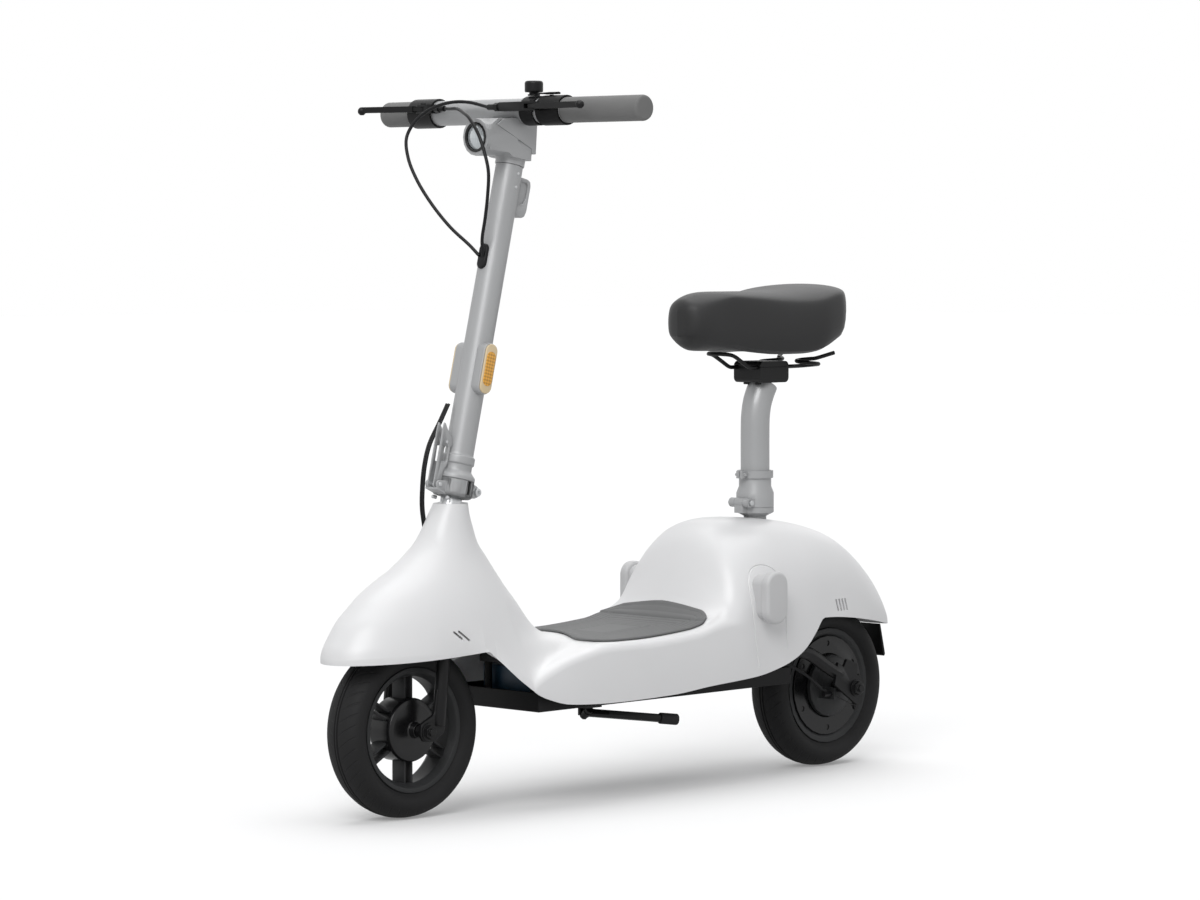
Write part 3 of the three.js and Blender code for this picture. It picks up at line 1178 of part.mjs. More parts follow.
const lampY = (depth) => behind(head.barrelFront) + depth;
const lampPlace = [0, 0, head.barrelZ];
addPiece('headlight_ring', ring(headlight.radius, headlight.bezel, lampY(-headlight.stand),
  lampY(headlight.depth), 'y', 16, lampPlace), blackPlastic);
addPiece('headlight_lens', turned([
  [0, lampY(-headlight.lensRise)], [headlight.lensRadius * 0.5, lampY(-headlight.lensRise * 0.7)],
  [headlight.lensRadius * 0.85, lampY(0)], [headlight.lensRadius, lampY(headlight.stand)],
  [headlight.lensRadius, lampY(headlight.lensDepth)], [0, lampY(headlight.lensDepth)],
], 'y', 16, lampPlace), clearLens);

addPiece('bag_hook', inColumn(without(
  plate(outline(hookOutline), -hook.half, hook.half, 'x'),
  rod(stem.topRadius + 0.6 + gap, stem.coneTop, stem.top, 'z', 16),
)), silverPaint);

addPiece('cable_grommet', inColumn(without(
  plate(roundedOutline(grommet.halfWidth, grommet.halfHeight, grommet.halfWidth * 0.98, 0,
    grommet.along), -stem.radius - grommet.stand, 0, 'y'),
  rod(stem.topRadius + 0.6 + gap, stem.coneTop, stem.top, 'z', 16),
)), blackPlastic);

// Bar and grips
const onBar = (profile, sides = 24) => turned(profile, 'x', sides, barCentre);
const coreEnd = barHalfLength - gripEnd.cap;
addPiece('handlebar', onBar([
  [bar.bore, -coreEnd], [bar.core, -coreEnd], [bar.core, -cuff.rightOuter],
  [bar.radius, -cuff.rightOuter], [bar.radius, cuff.leftOuter], [bar.core, cuff.leftOuter],
  [bar.core, coreEnd], [bar.bore, coreEnd], [bar.bore, -coreEnd],
]), silverPaint);

function gripBody(side, from) {
  const at = (along) => side * along;
  const face = coreEnd + gap;
  return onBar([
    [0, at(face)], [bar.core + gap, at(face)], [bar.core + gap, at(from)],
    [bar.gripRadius, at(from)], [bar.gripRadius, at(barHalfLength - gripEnd.round * 1.6)],
    [bar.gripRadius - gripEnd.round * 0.4, at(barHalfLength - gripEnd.round * 0.5)],
    [bar.gripRadius - gripEnd.round, at(barHalfLength)], [0, at(barHalfLength)],
  ]);
}
addPiece('left_grip', gripBody(1, gripJoin), gripRubber);
addPiece('right_grip', gripBody(-1, throttleJoin), gripRubber);

// Brake lever perches: band, body with two jaws, bridge and cable barrel
function perchBody(side, place, ball) {
  const from = side * place.bodyInner;
  const pivotX = side * place.pivotX;
  const band = onBar(ringProfile(side < 0 ? cuff.radius : perch.bandRadius, bar.radius + gap,
    side * place.bandInner, side * place.bandOuter));
  const body = plate(outline([
    [from, behind(perch.back - 5)], [from, behind(perch.back + 5)],
    [pivotX - side * 26, behind(perch.rear)], [pivotX + side * 4, behind(perch.rear)],
    [pivotX + side * perch.jawReach, behind(perch.back + 4)],
    [pivotX + side * perch.jawReach, behind(perch.back - 4)],
    [pivotX + side * 3, behind(perch.front)], [pivotX - side * 18, behind(perch.front)],
  ]), perch.z - perch.half, perch.z + perch.half, 'z');
  const near = Math.max(place.bandInner + 2, place.pivotX - 36);
  const far = Math.min(place.bandOuter - 2, place.pivotX + 6);
  const bridge = block((far - near) / 2, behind(perch.rear) - 3, barCentre[1],
    perch.z - perch.bridgeHalf, perch.z + perch.bridgeHalf, (side * (near + far)) / 2);
  const jawSlot = block((perch.jawReach + 10) / 2, behind(perch.front) - 2, behind(perch.rear) - 3.2,
    perch.z - perch.jaw, perch.z + perch.jaw, pivotX + (side * (perch.jawReach - 9)) / 2);
  const pin = rod(lever.pin, perch.z - perch.half - 2, perch.z + perch.half + 2, 'z', 8,
    [pivotX, behind(perch.back), 0]);
  const bolt = rod(lever.pin * 2, perch.z + perch.half, perch.z + perch.half + 2, 'z', 10,
    [pivotX, behind(perch.back), 0]);
  const barrel = rod(adjuster.radius, side * place.adjusterInner, from + side * 2, 'x', 8,
    [0, behind(perch.back), perch.z]);
  const nutAt = place.bodyInner - adjuster.nutLength * 1.6;
  const nut = rod(adjuster.nutRadius, side * nutAt, side * (nutAt + adjuster.nutLength), 'x', 6,
    [0, behind(perch.back), perch.z]);
  const blade = leverSweep(side, place.pivotX, ball);
  return without(joined(without(joined(body, bridge), jawSlot, barSpace), band, barrel, nut, pin,
    bolt), blade);
}

// Room that a lever sweeps through as it's pulled towards its grip
function leverSweep(side, pivot, ball) {
  const blade = leverBlade(side, pivot, ball, lever.pin + gap * 2, gap);
  const [x, y] = [side * pivot, behind(perch.back)];
  const pulled = (degrees) => blade.translate([-x, -y, 0]).rotate([0, 0, degrees])
    .translate([x, y, 0]);
  return joined(...leverPullShares.map((share) => pulled(side * share * leverPull)));
}

function leverBlade(side, pivot, ball, hole, ease = 0) {
  const root = [side * pivot, behind(perch.back)];
  const tip = [side * ball.x, behind(ball.back)];
  const length = Math.hypot(tip[0] - root[0], tip[1] - root[1]);
  const direction = [(tip[0] - root[0]) / length, (tip[1] - root[1]) / length];
  const at = (along, across) => [
    root[0] + direction[0] * along - direction[1] * across,
    root[1] + direction[1] * along + direction[0] * across,
  ];
  const rootHalf = lever.rootHalf + ease;
  const neckHalf = lever.rootRadius * 0.9 + ease;
  const half = lever.thickness + ease;
  const eye = rod(lever.rootRadius + ease, perch.z - rootHalf, perch.z + rootHalf, 'z', 16,
    [...root, 0]);
  const neck = plate(outline([
    at(0, -neckHalf), at(lever.neck + 4, -neckHalf), at(lever.neck + 4, neckHalf), at(0, neckHalf),
  ]), perch.z - rootHalf, perch.z + rootHalf, 'z');
  const blade = plate(outline([
    at(lever.neck - ease, -6.5 - ease), at(lever.neck + 22, -6 - ease), at(length * 0.55, -4),
    at(length * 0.8, -4.6), at(length, -3.4), at(length, 3.4), at(length * 0.8, 4.6),
    at(length * 0.55, 4.4), at(lever.neck + 22, 6.5 + ease), at(lever.neck - ease, 7 + ease),
  ]), perch.z - half, perch.z + half, 'z');
  const knob = new THREE.SphereGeometry(lever.ballRadius, 10, 7);
  knob.translate(...tip, ball.z);
  const pinHole = rod(hole, perch.z - perch.half * 2, perch.z + perch.half * 2, 'z', 8, [...root, 0]);
  return without(joined(eye, neck, blade, solid(knob)), pinHole);
}
addPiece('brake_perch_left', perchBody(1, leftPerch, leftBall), blackMetal);
addPiece('brake_perch_right', perchBody(-1, rightPerch, rightBall), blackMetal);
addPiece('brake_lever_left', leverBlade(1, leftPerch.pivotX, leftBall, lever.pin + gap), blackMetal);
addPiece('brake_lever_right', leverBlade(-1, rightPerch.pivotX, rightBall, lever.pin + gap),
  blackMetal);

// Thumb switch: cuff with a flat pad on top, and the rocker over it
const rockerX = (paddle.inner + paddle.outer) / 2;
addPiece('switch_pod', joined(
  onBar(ringProfile(cuff.radius, bar.radius + gap, cuff.leftInner, cuff.leftOuter)),
  without(block((paddle.outer - paddle.inner) / 2, barCentre[1] - paddle.half,
    barCentre[1] + paddle.half, barHeight, paddle.padTop - gap, rockerX), barSpace),
  without(block(paddle.half / 3, barCentre[1] - 2, barCentre[1] + 2, barHeight,
    paddle.bottom - gap, rockerX), barSpace),
), blackPlastic);
addPiece('switch_lever', plate(outline([
  [barCentre[1] - paddle.half, paddle.bottom + 0.6], [barCentre[1], paddle.bottom],
  [barCentre[1] + paddle.half, paddle.bottom + 0.6], [barCentre[1] + paddle.half, paddle.top],
  [barCentre[1] + paddle.half * 0.6, paddle.top + 1], [barCentre[1] - paddle.half * 0.6, paddle.top],
  [barCentre[1] - paddle.half, paddle.top],
]), paddle.inner, paddle.outer, 'x'), blackPlastic);

// Bell on the near band, with its striker between base and dome
const bellPlace = [bell.x, barCentre[1], 0];
const bandTop = barHeight + perch.bandRadius;
addPiece('bell_body', turned([
  [0, bandTop + gap], [bell.baseRadius, bandTop + gap], [bell.baseRadius, bell.baseTop],
  [bell.postRadius, bell.baseTop], [bell.postRadius, bell.rimZ], [bell.radius * 0.96, bell.rimZ],
  [bell.radius, bell.rimZ + 2], [bell.radius, bell.topZ - 3], [bell.radius * 0.9, bell.topZ - 0.8],
  [bell.radius * 0.75, bell.topZ], [0, bell.topZ],
], 'z', 16, bellPlace), blackMetal);

function strikerBody() {
  const [low, high] = [bell.baseTop + gap, bell.rimZ - gap];
  const collarRing = ring(striker.ringOuter, bell.postRadius + gap, low, high, 'z', 16, bellPlace);
  const arm = block(striker.half, barCentre[1] + bell.postRadius + 1, barCentre[1] + striker.reach,
    low, high, bell.x);
  const tip = rod(striker.tip, low, high, 'z', 10, [bell.x, barCentre[1] + striker.reach, 0]);
  return joined(collarRing, arm, tip);
}
addPiece('bell_striker', strikerBody(), blackMetal);

// Brake cables from the levers to the grommet on the stem
const cablePath = (start, rows, end) => [start, ...rows.map(([x, back, z]) => [x, behind(back), z]),
  end];
const barrelMouth = (side, place) => [
  side * place.adjusterInner - side * gap * 2, behind(perch.back), perch.z,
];
const grommetMouth = (x) => onColumn(x, -stem.radius, grommet.along).toArray();
const grommetSpace = inColumn(plate(
  roundedOutline(grommet.halfWidth + gap, grommet.halfHeight + gap, grommet.halfWidth, 0,
    grommet.along), -stem.radius - grommet.stand - gap, 0, 'y',
));
const heldCable = (side, place, rows, endX) => without(
  tube(cablePath(barrelMouth(side, place), rows, grommetMouth(endX)), adjuster.cableRadius, 8,
    cableSteps),
  grommetSpace,
);
addPiece('cable_left', heldCable(1, leftPerch, leftCableRoute, -4), blackPlastic);
addPiece('cable_right', heldCable(-1, rightPerch, rightCableRoute, 4), blackPlastic);
const fromColumn = columnFrame.clone().invert().elements;
const steered = (body, degrees) => inColumn(
  body.transform(Array.from(fromColumn)).rotate([0, 0, degrees]),
);
addPiece('harness', without(
  tube(harnessRoute.map(([x, back, z]) => [x, behind(back), z]), harnessRadius, 6, 16),
  ...steerShares.map((share) => steered(grownBody, share * steerLock)),
), blackPlastic);

// Seat: hinge base on the frame, pin, socket, clamp collar and bent post
const seatY = behind(seatAxisBack);
const pinPlace = [0, behind(seatPin.back), seatPin.z];

function seatBase() {
  const neck = turned([
    [0, seatNeck.bottom], [seatNeck.radius, seatNeck.bottom], [seatNeck.radius, seatNeck.top - 6],
    [seatNeck.flange, seatNeck.top], [seatNeck.flange, seatNeck.flangeTop], [0, seatNeck.flangeTop],
  ], 'z', 16, [0, seatY, 0]);
  const barrel = rod(seatPin.barrel, gap - seatPin.inner, seatPin.inner - gap, 'x', 16, pinPlace);
  const tongueFront = pinPlace[1] - seatPin.barrel * 0.8;
  const tongue = joined(
    block(seatPin.inner - gap, tongueFront, seatY - seatNeck.flange * 0.7, seatNeck.top,
      seatNeck.flangeTop),
    block(seatPin.inner - gap, tongueFront, seatY - seatSocket.radius - 2 * gap, seatNeck.top,
      seatPin.z - seatPin.barrel * 0.6),
  );
  const pinHole = rod(seatPin.radius + gap, -seatPin.half, seatPin.half, 'x', 10, pinPlace);
  return without(joined(neck, barrel, tongue), pinHole);
}
addPiece('seat_hinge_base', seatBase(), silverPaint);
addPiece('seat_hinge_pin', rod(seatPin.radius, -seatPin.half, seatPin.half, 'x', 10, pinPlace),
  brightMetal);

function seatSocketBody() {
  const cup = turned([
    [0, seatSocket.bottom], [seatSocket.radius, seatSocket.bottom],
    [seatSocket.radius, seatSocket.shoulder], [seatSocket.upperRadius, seatSocket.top],
    [seatSocket.upperRadius, seatSocket.upper], [seatSocket.bore, seatSocket.upper],
    [seatSocket.bore, seatPost.bottom - gap], [0, seatPost.bottom - gap],
  ], 'z', 16, [0, seatY, 0]);
  const knuckles = [1, -1].map((side) => rod(seatPin.barrel, side * (seatPin.inner + gap),
    side * seatPin.barrelHalf, 'x', 16, pinPlace));
  const webs = [1, -1].map((side) => block((seatPin.barrelHalf - seatPin.inner - gap) / 2,
    pinPlace[1], seatY - seatSocket.radius * 0.7, seatSocket.bottom + 1,
    seatPin.z + seatPin.barrel - 1, (side * (seatPin.barrelHalf + seatPin.inner + gap)) / 2));
  const tonguePlace = rod(seatPin.barrel + 2 * gap, -seatPin.inner - gap, seatPin.inner + gap, 'x',
    20, pinPlace);
  const bore = rod(seatSocket.bore, seatPost.bottom - gap, seatSocket.upper, 'z', 16, [0, seatY, 0]);
  const pinHole = rod(seatPin.radius + gap, -seatPin.half, seatPin.half, 'x', 10, pinPlace);
  return without(joined(cup, ...knuckles, ...webs), tonguePlace, bore, pinHole);
}
addPiece('seat_hinge_socket', seatSocketBody(), silverPaint);

function seatCollar() {
  const band = ring(collar.radius, collar.inner, collar.bottom, collar.top, 'z', 16, [0, seatY, 0]);
  const tabs = block(collar.tabHalf, seatY - collar.radius - collar.tab / 2,
    seatY - (collar.radius + collar.inner) / 2, collar.bottom, collar.top);
  const slit = block(collar.slit / 2, seatY - collar.radius * 2, seatY - collar.inner + 1,
    collar.bottom - 1, collar.top + 1);
  const bolt = rod(collar.slit * 1.6, -collar.tabHalf * 1.7, collar.tabHalf * 1.7, 'x', 8,
    [0, seatY - collar.radius - collar.tab / 5, (collar.bottom + collar.top) / 2]);
  return joined(without(joined(band, tabs), slit), bolt);
}
addPiece('seat_collar', seatCollar(), silverPaint);

function seatPostBody(outer, inner) {
  const route = [[seatAxisBack, seatPost.bottom], [seatAxisBack, seatPost.bottom + 40],
    ...seatPostRoute].map(([back, z]) => [0, behind(back), z]);
  const post = tube(route, outer, 16, 8);
  return inner ? without(post, tube(route, inner, 16, 8)) : post;
}
addPiece('seat_post', seatPostBody(seatPost.radius, seatPost.radius - seatPost.wall), brightMetal);

// Saddle clamp round the post's top, with grooves for the two rails
function clampBody() {
  const middle = behind((saddleClamp.front + saddleClamp.rear) / 2);
  const half = (saddleClamp.rear - saddleClamp.front) / 2;
  const shell = plate(
    roundedOutline(half, (saddleClamp.top - saddleClamp.bottom) / 2, saddleClamp.corner, middle,
      (saddleClamp.top + saddleClamp.bottom) / 2),
    -saddleClamp.half, saddleClamp.half, 'x',
  );
  const grooves = [1, -1].map((side) => rod(wire.radius + 2 * gap, middle - half - 1, middle + half + 1,
    'y', 8, [side * wire.railX, 0, wire.railZ]));
  const slots = [1, -1].map((side) => block(saddleClamp.half / 2, middle - half - 1,
    middle + half + 1, wire.railZ - gap, wire.railZ + gap,
    side * (wire.railX + saddleClamp.half / 2)));
  const bolts = [1, -1].map((side) => rod(wire.radius * 1.6, saddleClamp.bottom - 3,
    saddleClamp.bottom + 1, 'z', 6, [side * 12, behind(saddleClamp.front) + 12, 0]));
  return without(joined(shell, ...bolts), seatPostBody(seatPost.radius + gap), ...grooves, ...slots);
}
addPiece('saddle_clamp', clampBody(), blackMetal);

// Saddle wire: one bent rod from one rear curl round the nose to the other
function wirePoints(side) {
  const points = wireFront.slice(1).map(([x, back, z]) => [side * x, behind(back), z]);
  [wire.clampFront, saddleClamp.front, saddleClamp.rear, wire.loopBack - wire.loopRadius].forEach(
    (back) => points.push([side * wire.railX, behind(back), wire.railZ]),
  );
  const centre = [wire.railX + wire.loopRadius, behind(wire.loopBack)];
  const steps = Math.round(wire.turns * curlSteps);
  for (let i = 0; i <= steps; i += 1) {
    const angle = Math.PI - (i / curlSteps) * 2 * Math.PI;
    points.push([side * (centre[0] + wire.loopRadius * Math.cos(angle)),
      centre[1] + wire.loopRadius * Math.sin(angle), wire.railZ + (i / curlSteps) * wire.pitch]);
  }
  points.push([side * wireEnd[0], behind(wireEnd[1]), wireEnd[2]]);
  return points;
}
const curlSteps = 8;
const [noseX, noseBack, noseZ] = wireFront[0];
const railPoints = [...wirePoints(-1).reverse(), [noseX, behind(noseBack), noseZ], ...wirePoints(1)];
addPiece('saddle_rails', tube(railPoints, wire.radius, wire.sides, wire.steps), brightMetal);

function leastGap(points, radius) {
  const curve = new THREE.CatmullRomCurve3(points.map((p) => new THREE.Vector3(...p)), false,
    'centripetal');
  const samples = curve.getSpacedPoints(600);
  const skip = Math.ceil((radius * 6 * 600) / curve.getLength());
  let least = Infinity;
  for (let i = 0; i < samples.length; i += 1) {
    for (let j = i + skip; j < samples.length; j += 1) {
      least = Math.min(least, samples[i].distanceTo(samples[j]) - 2 * radius);
    }
  }
  return least;
}
console.log('saddle wire clears itself by', leastGap(railPoints, wire.radius).toFixed(2), 'mm');

// Saddle cushion: stations from nose to tail, flat below and crowned above
const widthShareOf = smoothRows(saddleWidthShares);
const topShareOf = smoothRows(saddleTopShares);
const bottomShareOf = smoothRows(saddleBottomShares);

function saddleSection(share, count) {
  const y = behind(saddle.front + share * saddle.length);
  const half = widthShareOf(share) * saddle.halfWidth;
  const top = saddle.bottom + topShareOf(share) * saddle.height;
  const low = saddle.bottom + bottomShareOf(share) * saddle.height;
  const waist = low + (top - low) * saddle.waistShare;
  return Array.from({ length: count }, (_, i) => {
    const angle = (i / count) * 2 * Math.PI;
    const [c, d] = [Math.cos(angle), Math.sin(angle)];
    const round = d > 0 ? saddle.crownRound : saddle.baseRound;
    const x = Math.sign(c) * Math.abs(c) ** (2 / round) * half;
    const rise = Math.abs(d) ** (2 / round);
    return [x, y, d > 0 ? waist + (top - waist) * rise : waist - (waist - low) * rise];
  });
}

function cushionBody() {
  const rows = saddleStations.map((share) => saddleSection(share, saddle.around));
  const places = [];
  for (let i = 0; i + 1 < rows.length; i += 1) {
    for (let j = 0; j < saddle.around; j += 1) {
      const k = (j + 1) % saddle.around;
      places.push(...rows[i][j], ...rows[i][k], ...rows[i + 1][k]);
      places.push(...rows[i][j], ...rows[i + 1][k], ...rows[i + 1][j]);
    }
  }
  const geometry = new THREE.BufferGeometry();
  geometry.setAttribute('position', new THREE.BufferAttribute(new Float32Array(places), 3));
  return solid(mergeVertices(geometry, gap / 1000));
}
addPiece('saddle_cushion', cushionBody(), saddleFoam);

let facets = 0;
scooter.traverse((node) => {
  if (node.isMesh) facets += node.geometry.index.count / 3;
});
console.log('facets in all', facets);

export default scooter;
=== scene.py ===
import bisect
import math

import bmesh
import bpy
from mathutils import Matrix, Vector


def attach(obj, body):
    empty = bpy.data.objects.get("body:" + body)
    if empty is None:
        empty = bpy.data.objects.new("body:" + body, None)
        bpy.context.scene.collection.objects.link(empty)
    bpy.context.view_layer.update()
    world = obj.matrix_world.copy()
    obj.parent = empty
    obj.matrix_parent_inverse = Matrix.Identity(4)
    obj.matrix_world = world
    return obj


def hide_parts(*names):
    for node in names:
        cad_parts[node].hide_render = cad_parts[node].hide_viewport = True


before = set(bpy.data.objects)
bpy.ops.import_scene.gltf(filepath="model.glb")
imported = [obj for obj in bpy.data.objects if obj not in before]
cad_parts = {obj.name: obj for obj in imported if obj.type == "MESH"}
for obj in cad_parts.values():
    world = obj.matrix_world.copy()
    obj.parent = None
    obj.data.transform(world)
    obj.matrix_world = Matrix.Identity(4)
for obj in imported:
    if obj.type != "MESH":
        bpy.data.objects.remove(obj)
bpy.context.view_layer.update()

bl_info = {
    "name": "Seated Scooter",
    "version": (1, 0, 0),
    "blender": (4, 5, 0),
    "location": "View3D > Sidebar > Scooter",
    "description": "Builds the looks of a seated scooter round its packed solids",
    "category": "Object",
}

MM = 0.001
FRONT_AXLE_Y = -435.0
REAR_AXLE_Y = 440.6
AXLE_Z = 127.0
RAKE = math.radians(13.61)
COLUMN = Matrix.Translation((0, -0.4176, 0.127)) @ Matrix.Rotation(-RAKE, 4, "X")
TO_X = Matrix.Rotation(math.radians(90), 4, "Y")
TO_Y = Matrix.Rotation(math.radians(-90), 4, "X")
ACROSS = Matrix(((0, 0, 1, 0), (1, 0, 0, 0), (0, 1, 0, 0), (0, 0, 0, 1)))
FACING = Matrix(((1, 0, 0, 0), (0, 0, -1, 0), (0, 1, 0, 0), (0, 0, 0, 1)))
COLUMN_SIDE = COLUMN @ ACROSS
COLUMN_FACE = COLUMN @ FACING
ROW_SIDE = Matrix.Translation((0, FRONT_AXLE_Y * MM, 0)) @ ACROSS


# Shader values and finishes
def plug(tree, socket, value):
    if isinstance(value, Field):
        tree.links.new(value.socket, socket)
    else:
        socket.default_value = value


class Field:
    """A shader value that Python's operators combine with Math nodes."""

    def __init__(self, tree, socket):
        self.tree = tree
        self.socket = socket

    def maths(self, operation, *others):
        node = self.tree.nodes.new("ShaderNodeMath")
        node.operation = operation
        for socket, value in zip(node.inputs, (self, *others)):
            plug(self.tree, socket, value)
        return Field(self.tree, node.outputs[0])

    def __add__(self, other):
        return self.maths("ADD", other)

    def __sub__(self, other):
        return self.maths("SUBTRACT", other)

    def __mul__(self, other):
        return self.maths("MULTIPLY", other)

    def __neg__(self):
        return self * -1.0

    def __rsub__(self, other):
        return -self + other

    __radd__ = __add__
    __rmul__ = __mul__

    def clamped(self):
        return self.maths("MAXIMUM", 0.0).maths("MINIMUM", 1.0)

    def step(self, low, high):
        """0 below low, 1 above high, and straight between them."""
        return ((self - low) * (1.0 / (high - low))).clamped()


class Finish:
    """A material of one finish, on object coordinates."""

    def __init__(self, name, colour, roughness, metallic=0.0, **fixed):
        self.material = bpy.data.materials.new(name)
        self.material.use_nodes = True
        self.tree = self.material.node_tree
        self.shader = self.tree.nodes["Principled BSDF"]
        self.colour = (*colour, 1.0)
        self.set("Base Color", self.colour)
        self.set("Roughness", roughness)
        self.set("Metallic", metallic)
        for socket, value in fixed.items():
            self.set(socket.replace("_", " "), value)

    def set(self, socket, value):
        plug(self.tree, self.shader.inputs[socket], value)

    def node(self, kind, inputs=None, output=0, **settings):
        made = self.tree.nodes.new(kind)
        for key, value in settings.items():
            setattr(made, key, value)
        for socket, value in (inputs or {}).items():
            plug(self.tree, made.inputs[socket], value)
        return Field(self.tree, made.outputs[output])

    def place(self, turn=(0, 0, 0), stretch=(1, 1, 1), shift=(0, 0, 0)):
        spot = self.node("ShaderNodeTexCoord", output=3)
        return self.node("ShaderNodeMapping",
                         {"Vector": spot, "Rotation": turn, "Scale": stretch, "Location": shift})

    def along(self, axis, **mapping):
        return self.node("ShaderNodeSeparateXYZ", {"Vector": self.place(**mapping)}, output=axis)

    def noise(self, scale, detail=3.0, rough=0.55, **mapping):
        return self.node("ShaderNodeTexNoise", {
            "Vector": self.place(**mapping), "Scale": scale, "Detail": detail, "Roughness": rough})

    def cells(self, scale, feature="DISTANCE_TO_EDGE", **mapping):
        return self.node("ShaderNodeTexVoronoi", {"Vector": self.place(**mapping), "Scale": scale},
                         feature=feature)

    def mix(self, mask, first, second):
        made = self.tree.nodes.new("ShaderNodeMix")
        made.data_type = "RGBA"
        for socket, value in zip((0, 6, 7), (mask, first, second)):
            plug(self.tree, made.inputs[socket], value)
        return Field(self.tree, made.outputs[2])

    def varied(self, mask, by):
        """Base colour that goes from a darker to a lighter shade with a mask."""
        dark = tuple(channel * (1 - by) for channel in self.colour[:3]) + (1.0,)
        light = tuple(min(1.0, channel * (1 + by)) for channel in self.colour[:3]) + (1.0,)
        self.set("Base Color", self.mix(mask, dark, light))

    def relief(self, height, distance, strength=1.0):
        self.set("Normal", self.node("ShaderNodeBump", {
            "Height": height, "Distance": distance, "Strength": strength}))


def moulded(name, colour, roughness, grain=0.02, coat=0.0, shine=0.5):
    """Moulded plastic with a fine grain."""
    finish = Finish(name, colour, roughness, Coat_Weight=coat, Coat_Roughness=0.25,
                    Specular_IOR_Level=shine)
    cloud = finish.noise(9.0)
    fine = finish.noise(1600.0, 2.0)
    finish.varied(cloud, 0.025)
    finish.set("Roughness", cloud * 0.10 + (roughness - 0.05))
    finish.relief(fine, grain * MM, 0.35)
    return finish.material


def painted(name, colour, roughness, speck=0.03, metallic=0.0, coat=0.0, shine=0.5):
    """Powder coat or paint on metal, with the light orange peel that it has."""
    finish = Finish(name, colour, roughness, metallic, Coat_Weight=coat, Coat_Roughness=0.2,
                    Specular_IOR_Level=shine)
    cloud = finish.noise(14.0)
    peel = finish.noise(900.0, 2.0)
    finish.varied(cloud * 0.6 + peel * 0.4, 0.06)
    finish.set("Roughness", cloud * 0.12 + (roughness - 0.06))
    finish.relief(peel, speck * MM, 0.4)
    return finish.material


def machined(name, colour, roughness):
    """Bare metal with fine turning lines."""
    finish = Finish(name, colour, roughness, 1.0)
    lines = finish.noise(500.0, 3.0, stretch=(4.0, 0.15, 0.15))
    finish.varied(lines, 0.05)
    finish.set("Roughness", lines * 0.16 + (roughness - 0.08))
    finish.relief(lines, 0.01 * MM, 0.3)
    return finish.material


def rubber(name, colour, roughness, grain=0.05):
    """Rubber with a dull, slightly dusty surface."""
    finish = Finish(name, colour, roughness, Specular_IOR_Level=0.22)
    dust = finish.noise(22.0, 5.0)
    fine = finish.noise(1100.0, 2.0)
    finish.varied(dust, 0.10)
    finish.set("Roughness", dust * 0.16 + (roughness - 0.08))
    finish.relief(fine, grain * MM, 0.5)
    return finish.material


def covered(name, colour):
    """Padded saddle cover with a fine pebbled grain."""
    finish = Finish(name, colour, 0.5, Specular_IOR_Level=0.4, Sheen_Weight=0.05)
    cells = finish.cells(950.0)
    wear = finish.noise(12.0, 4.0)
    finish.varied(wear * 0.7 + cells * 0.9, 0.12)
    finish.set("Roughness", wear * 0.14 + (0.46 - 0.05))
    finish.relief(cells.maths("MINIMUM", 0.35) + finish.noise(300.0) * 0.3, 0.12 * MM, 0.35)
    return finish.material


def ribbed_lens(name, colour):
    """Amber reflector with the prism rows behind its face."""
    finish = Finish(name, colour, 0.18, Coat_Weight=0.6, Coat_Roughness=0.06, IOR=1.49)
    along = finish.along(2, turn=(RAKE, 0, 0))
    across = finish.along(1, turn=(RAKE, 0, 0))
    rows = (along * 1350.0).maths("SINE")
    cross = (across * 1350.0).maths("SINE")
    prism = rows * 0.5 + cross * 0.35
    finish.varied(prism.step(-0.8, 0.8), 0.35)
    finish.relief(prism, 0.4 * MM, 0.5)
    return finish.material


def clear_lens(name, colour):
    """Clear ribbed lens over a bright reflector."""
    finish = Finish(name, colour, 0.12, 0.35, Coat_Weight=1.0, Coat_Roughness=0.04)
    rows = (finish.along(0) * 1900.0).maths("SINE")
    cloud = finish.noise(60.0)
    finish.varied(rows.step(-1.0, 1.0) * 0.6 + cloud * 0.4, 0.16)
    finish.set("Roughness", cloud * 0.10 + 0.06)
    finish.relief(rows, 0.15 * MM, 0.3)
    return finish.material


def tread(name, colour, centre_y):
    """Tyre rubber: slanted sipes on the tread and a plain wall."""
    finish = Finish(name, colour, 0.72, Specular_IOR_Level=0.3)
    y = finish.along(1) - centre_y * MM
    z = finish.along(2) - AXLE_Z * MM
    x = finish.along(0).maths("ABSOLUTE")
    angle = z.maths("ARCTAN2", y)
    reach = (y * y + z * z).maths("SQRT")
    shoulder = x.step(0.006, 0.012) * (1.0 - x.step(0.028, 0.0315))
    crown = reach.step(0.1135, 0.1165)
    waves = (angle * 44.0 + x * 260.0).maths("SINE")
    sipes = waves.step(0.86, 0.97) * shoulder * crown
    dust = finish.noise(30.0, 5.0)
    finish.varied(dust, 0.12)
    finish.set("Roughness", dust * 0.14 + 0.62)
    finish.relief(sipes * -1.0 + finish.noise(1200.0) * 0.05, 1.1 * MM, 0.8)
    return finish.material


FINISHES = {}


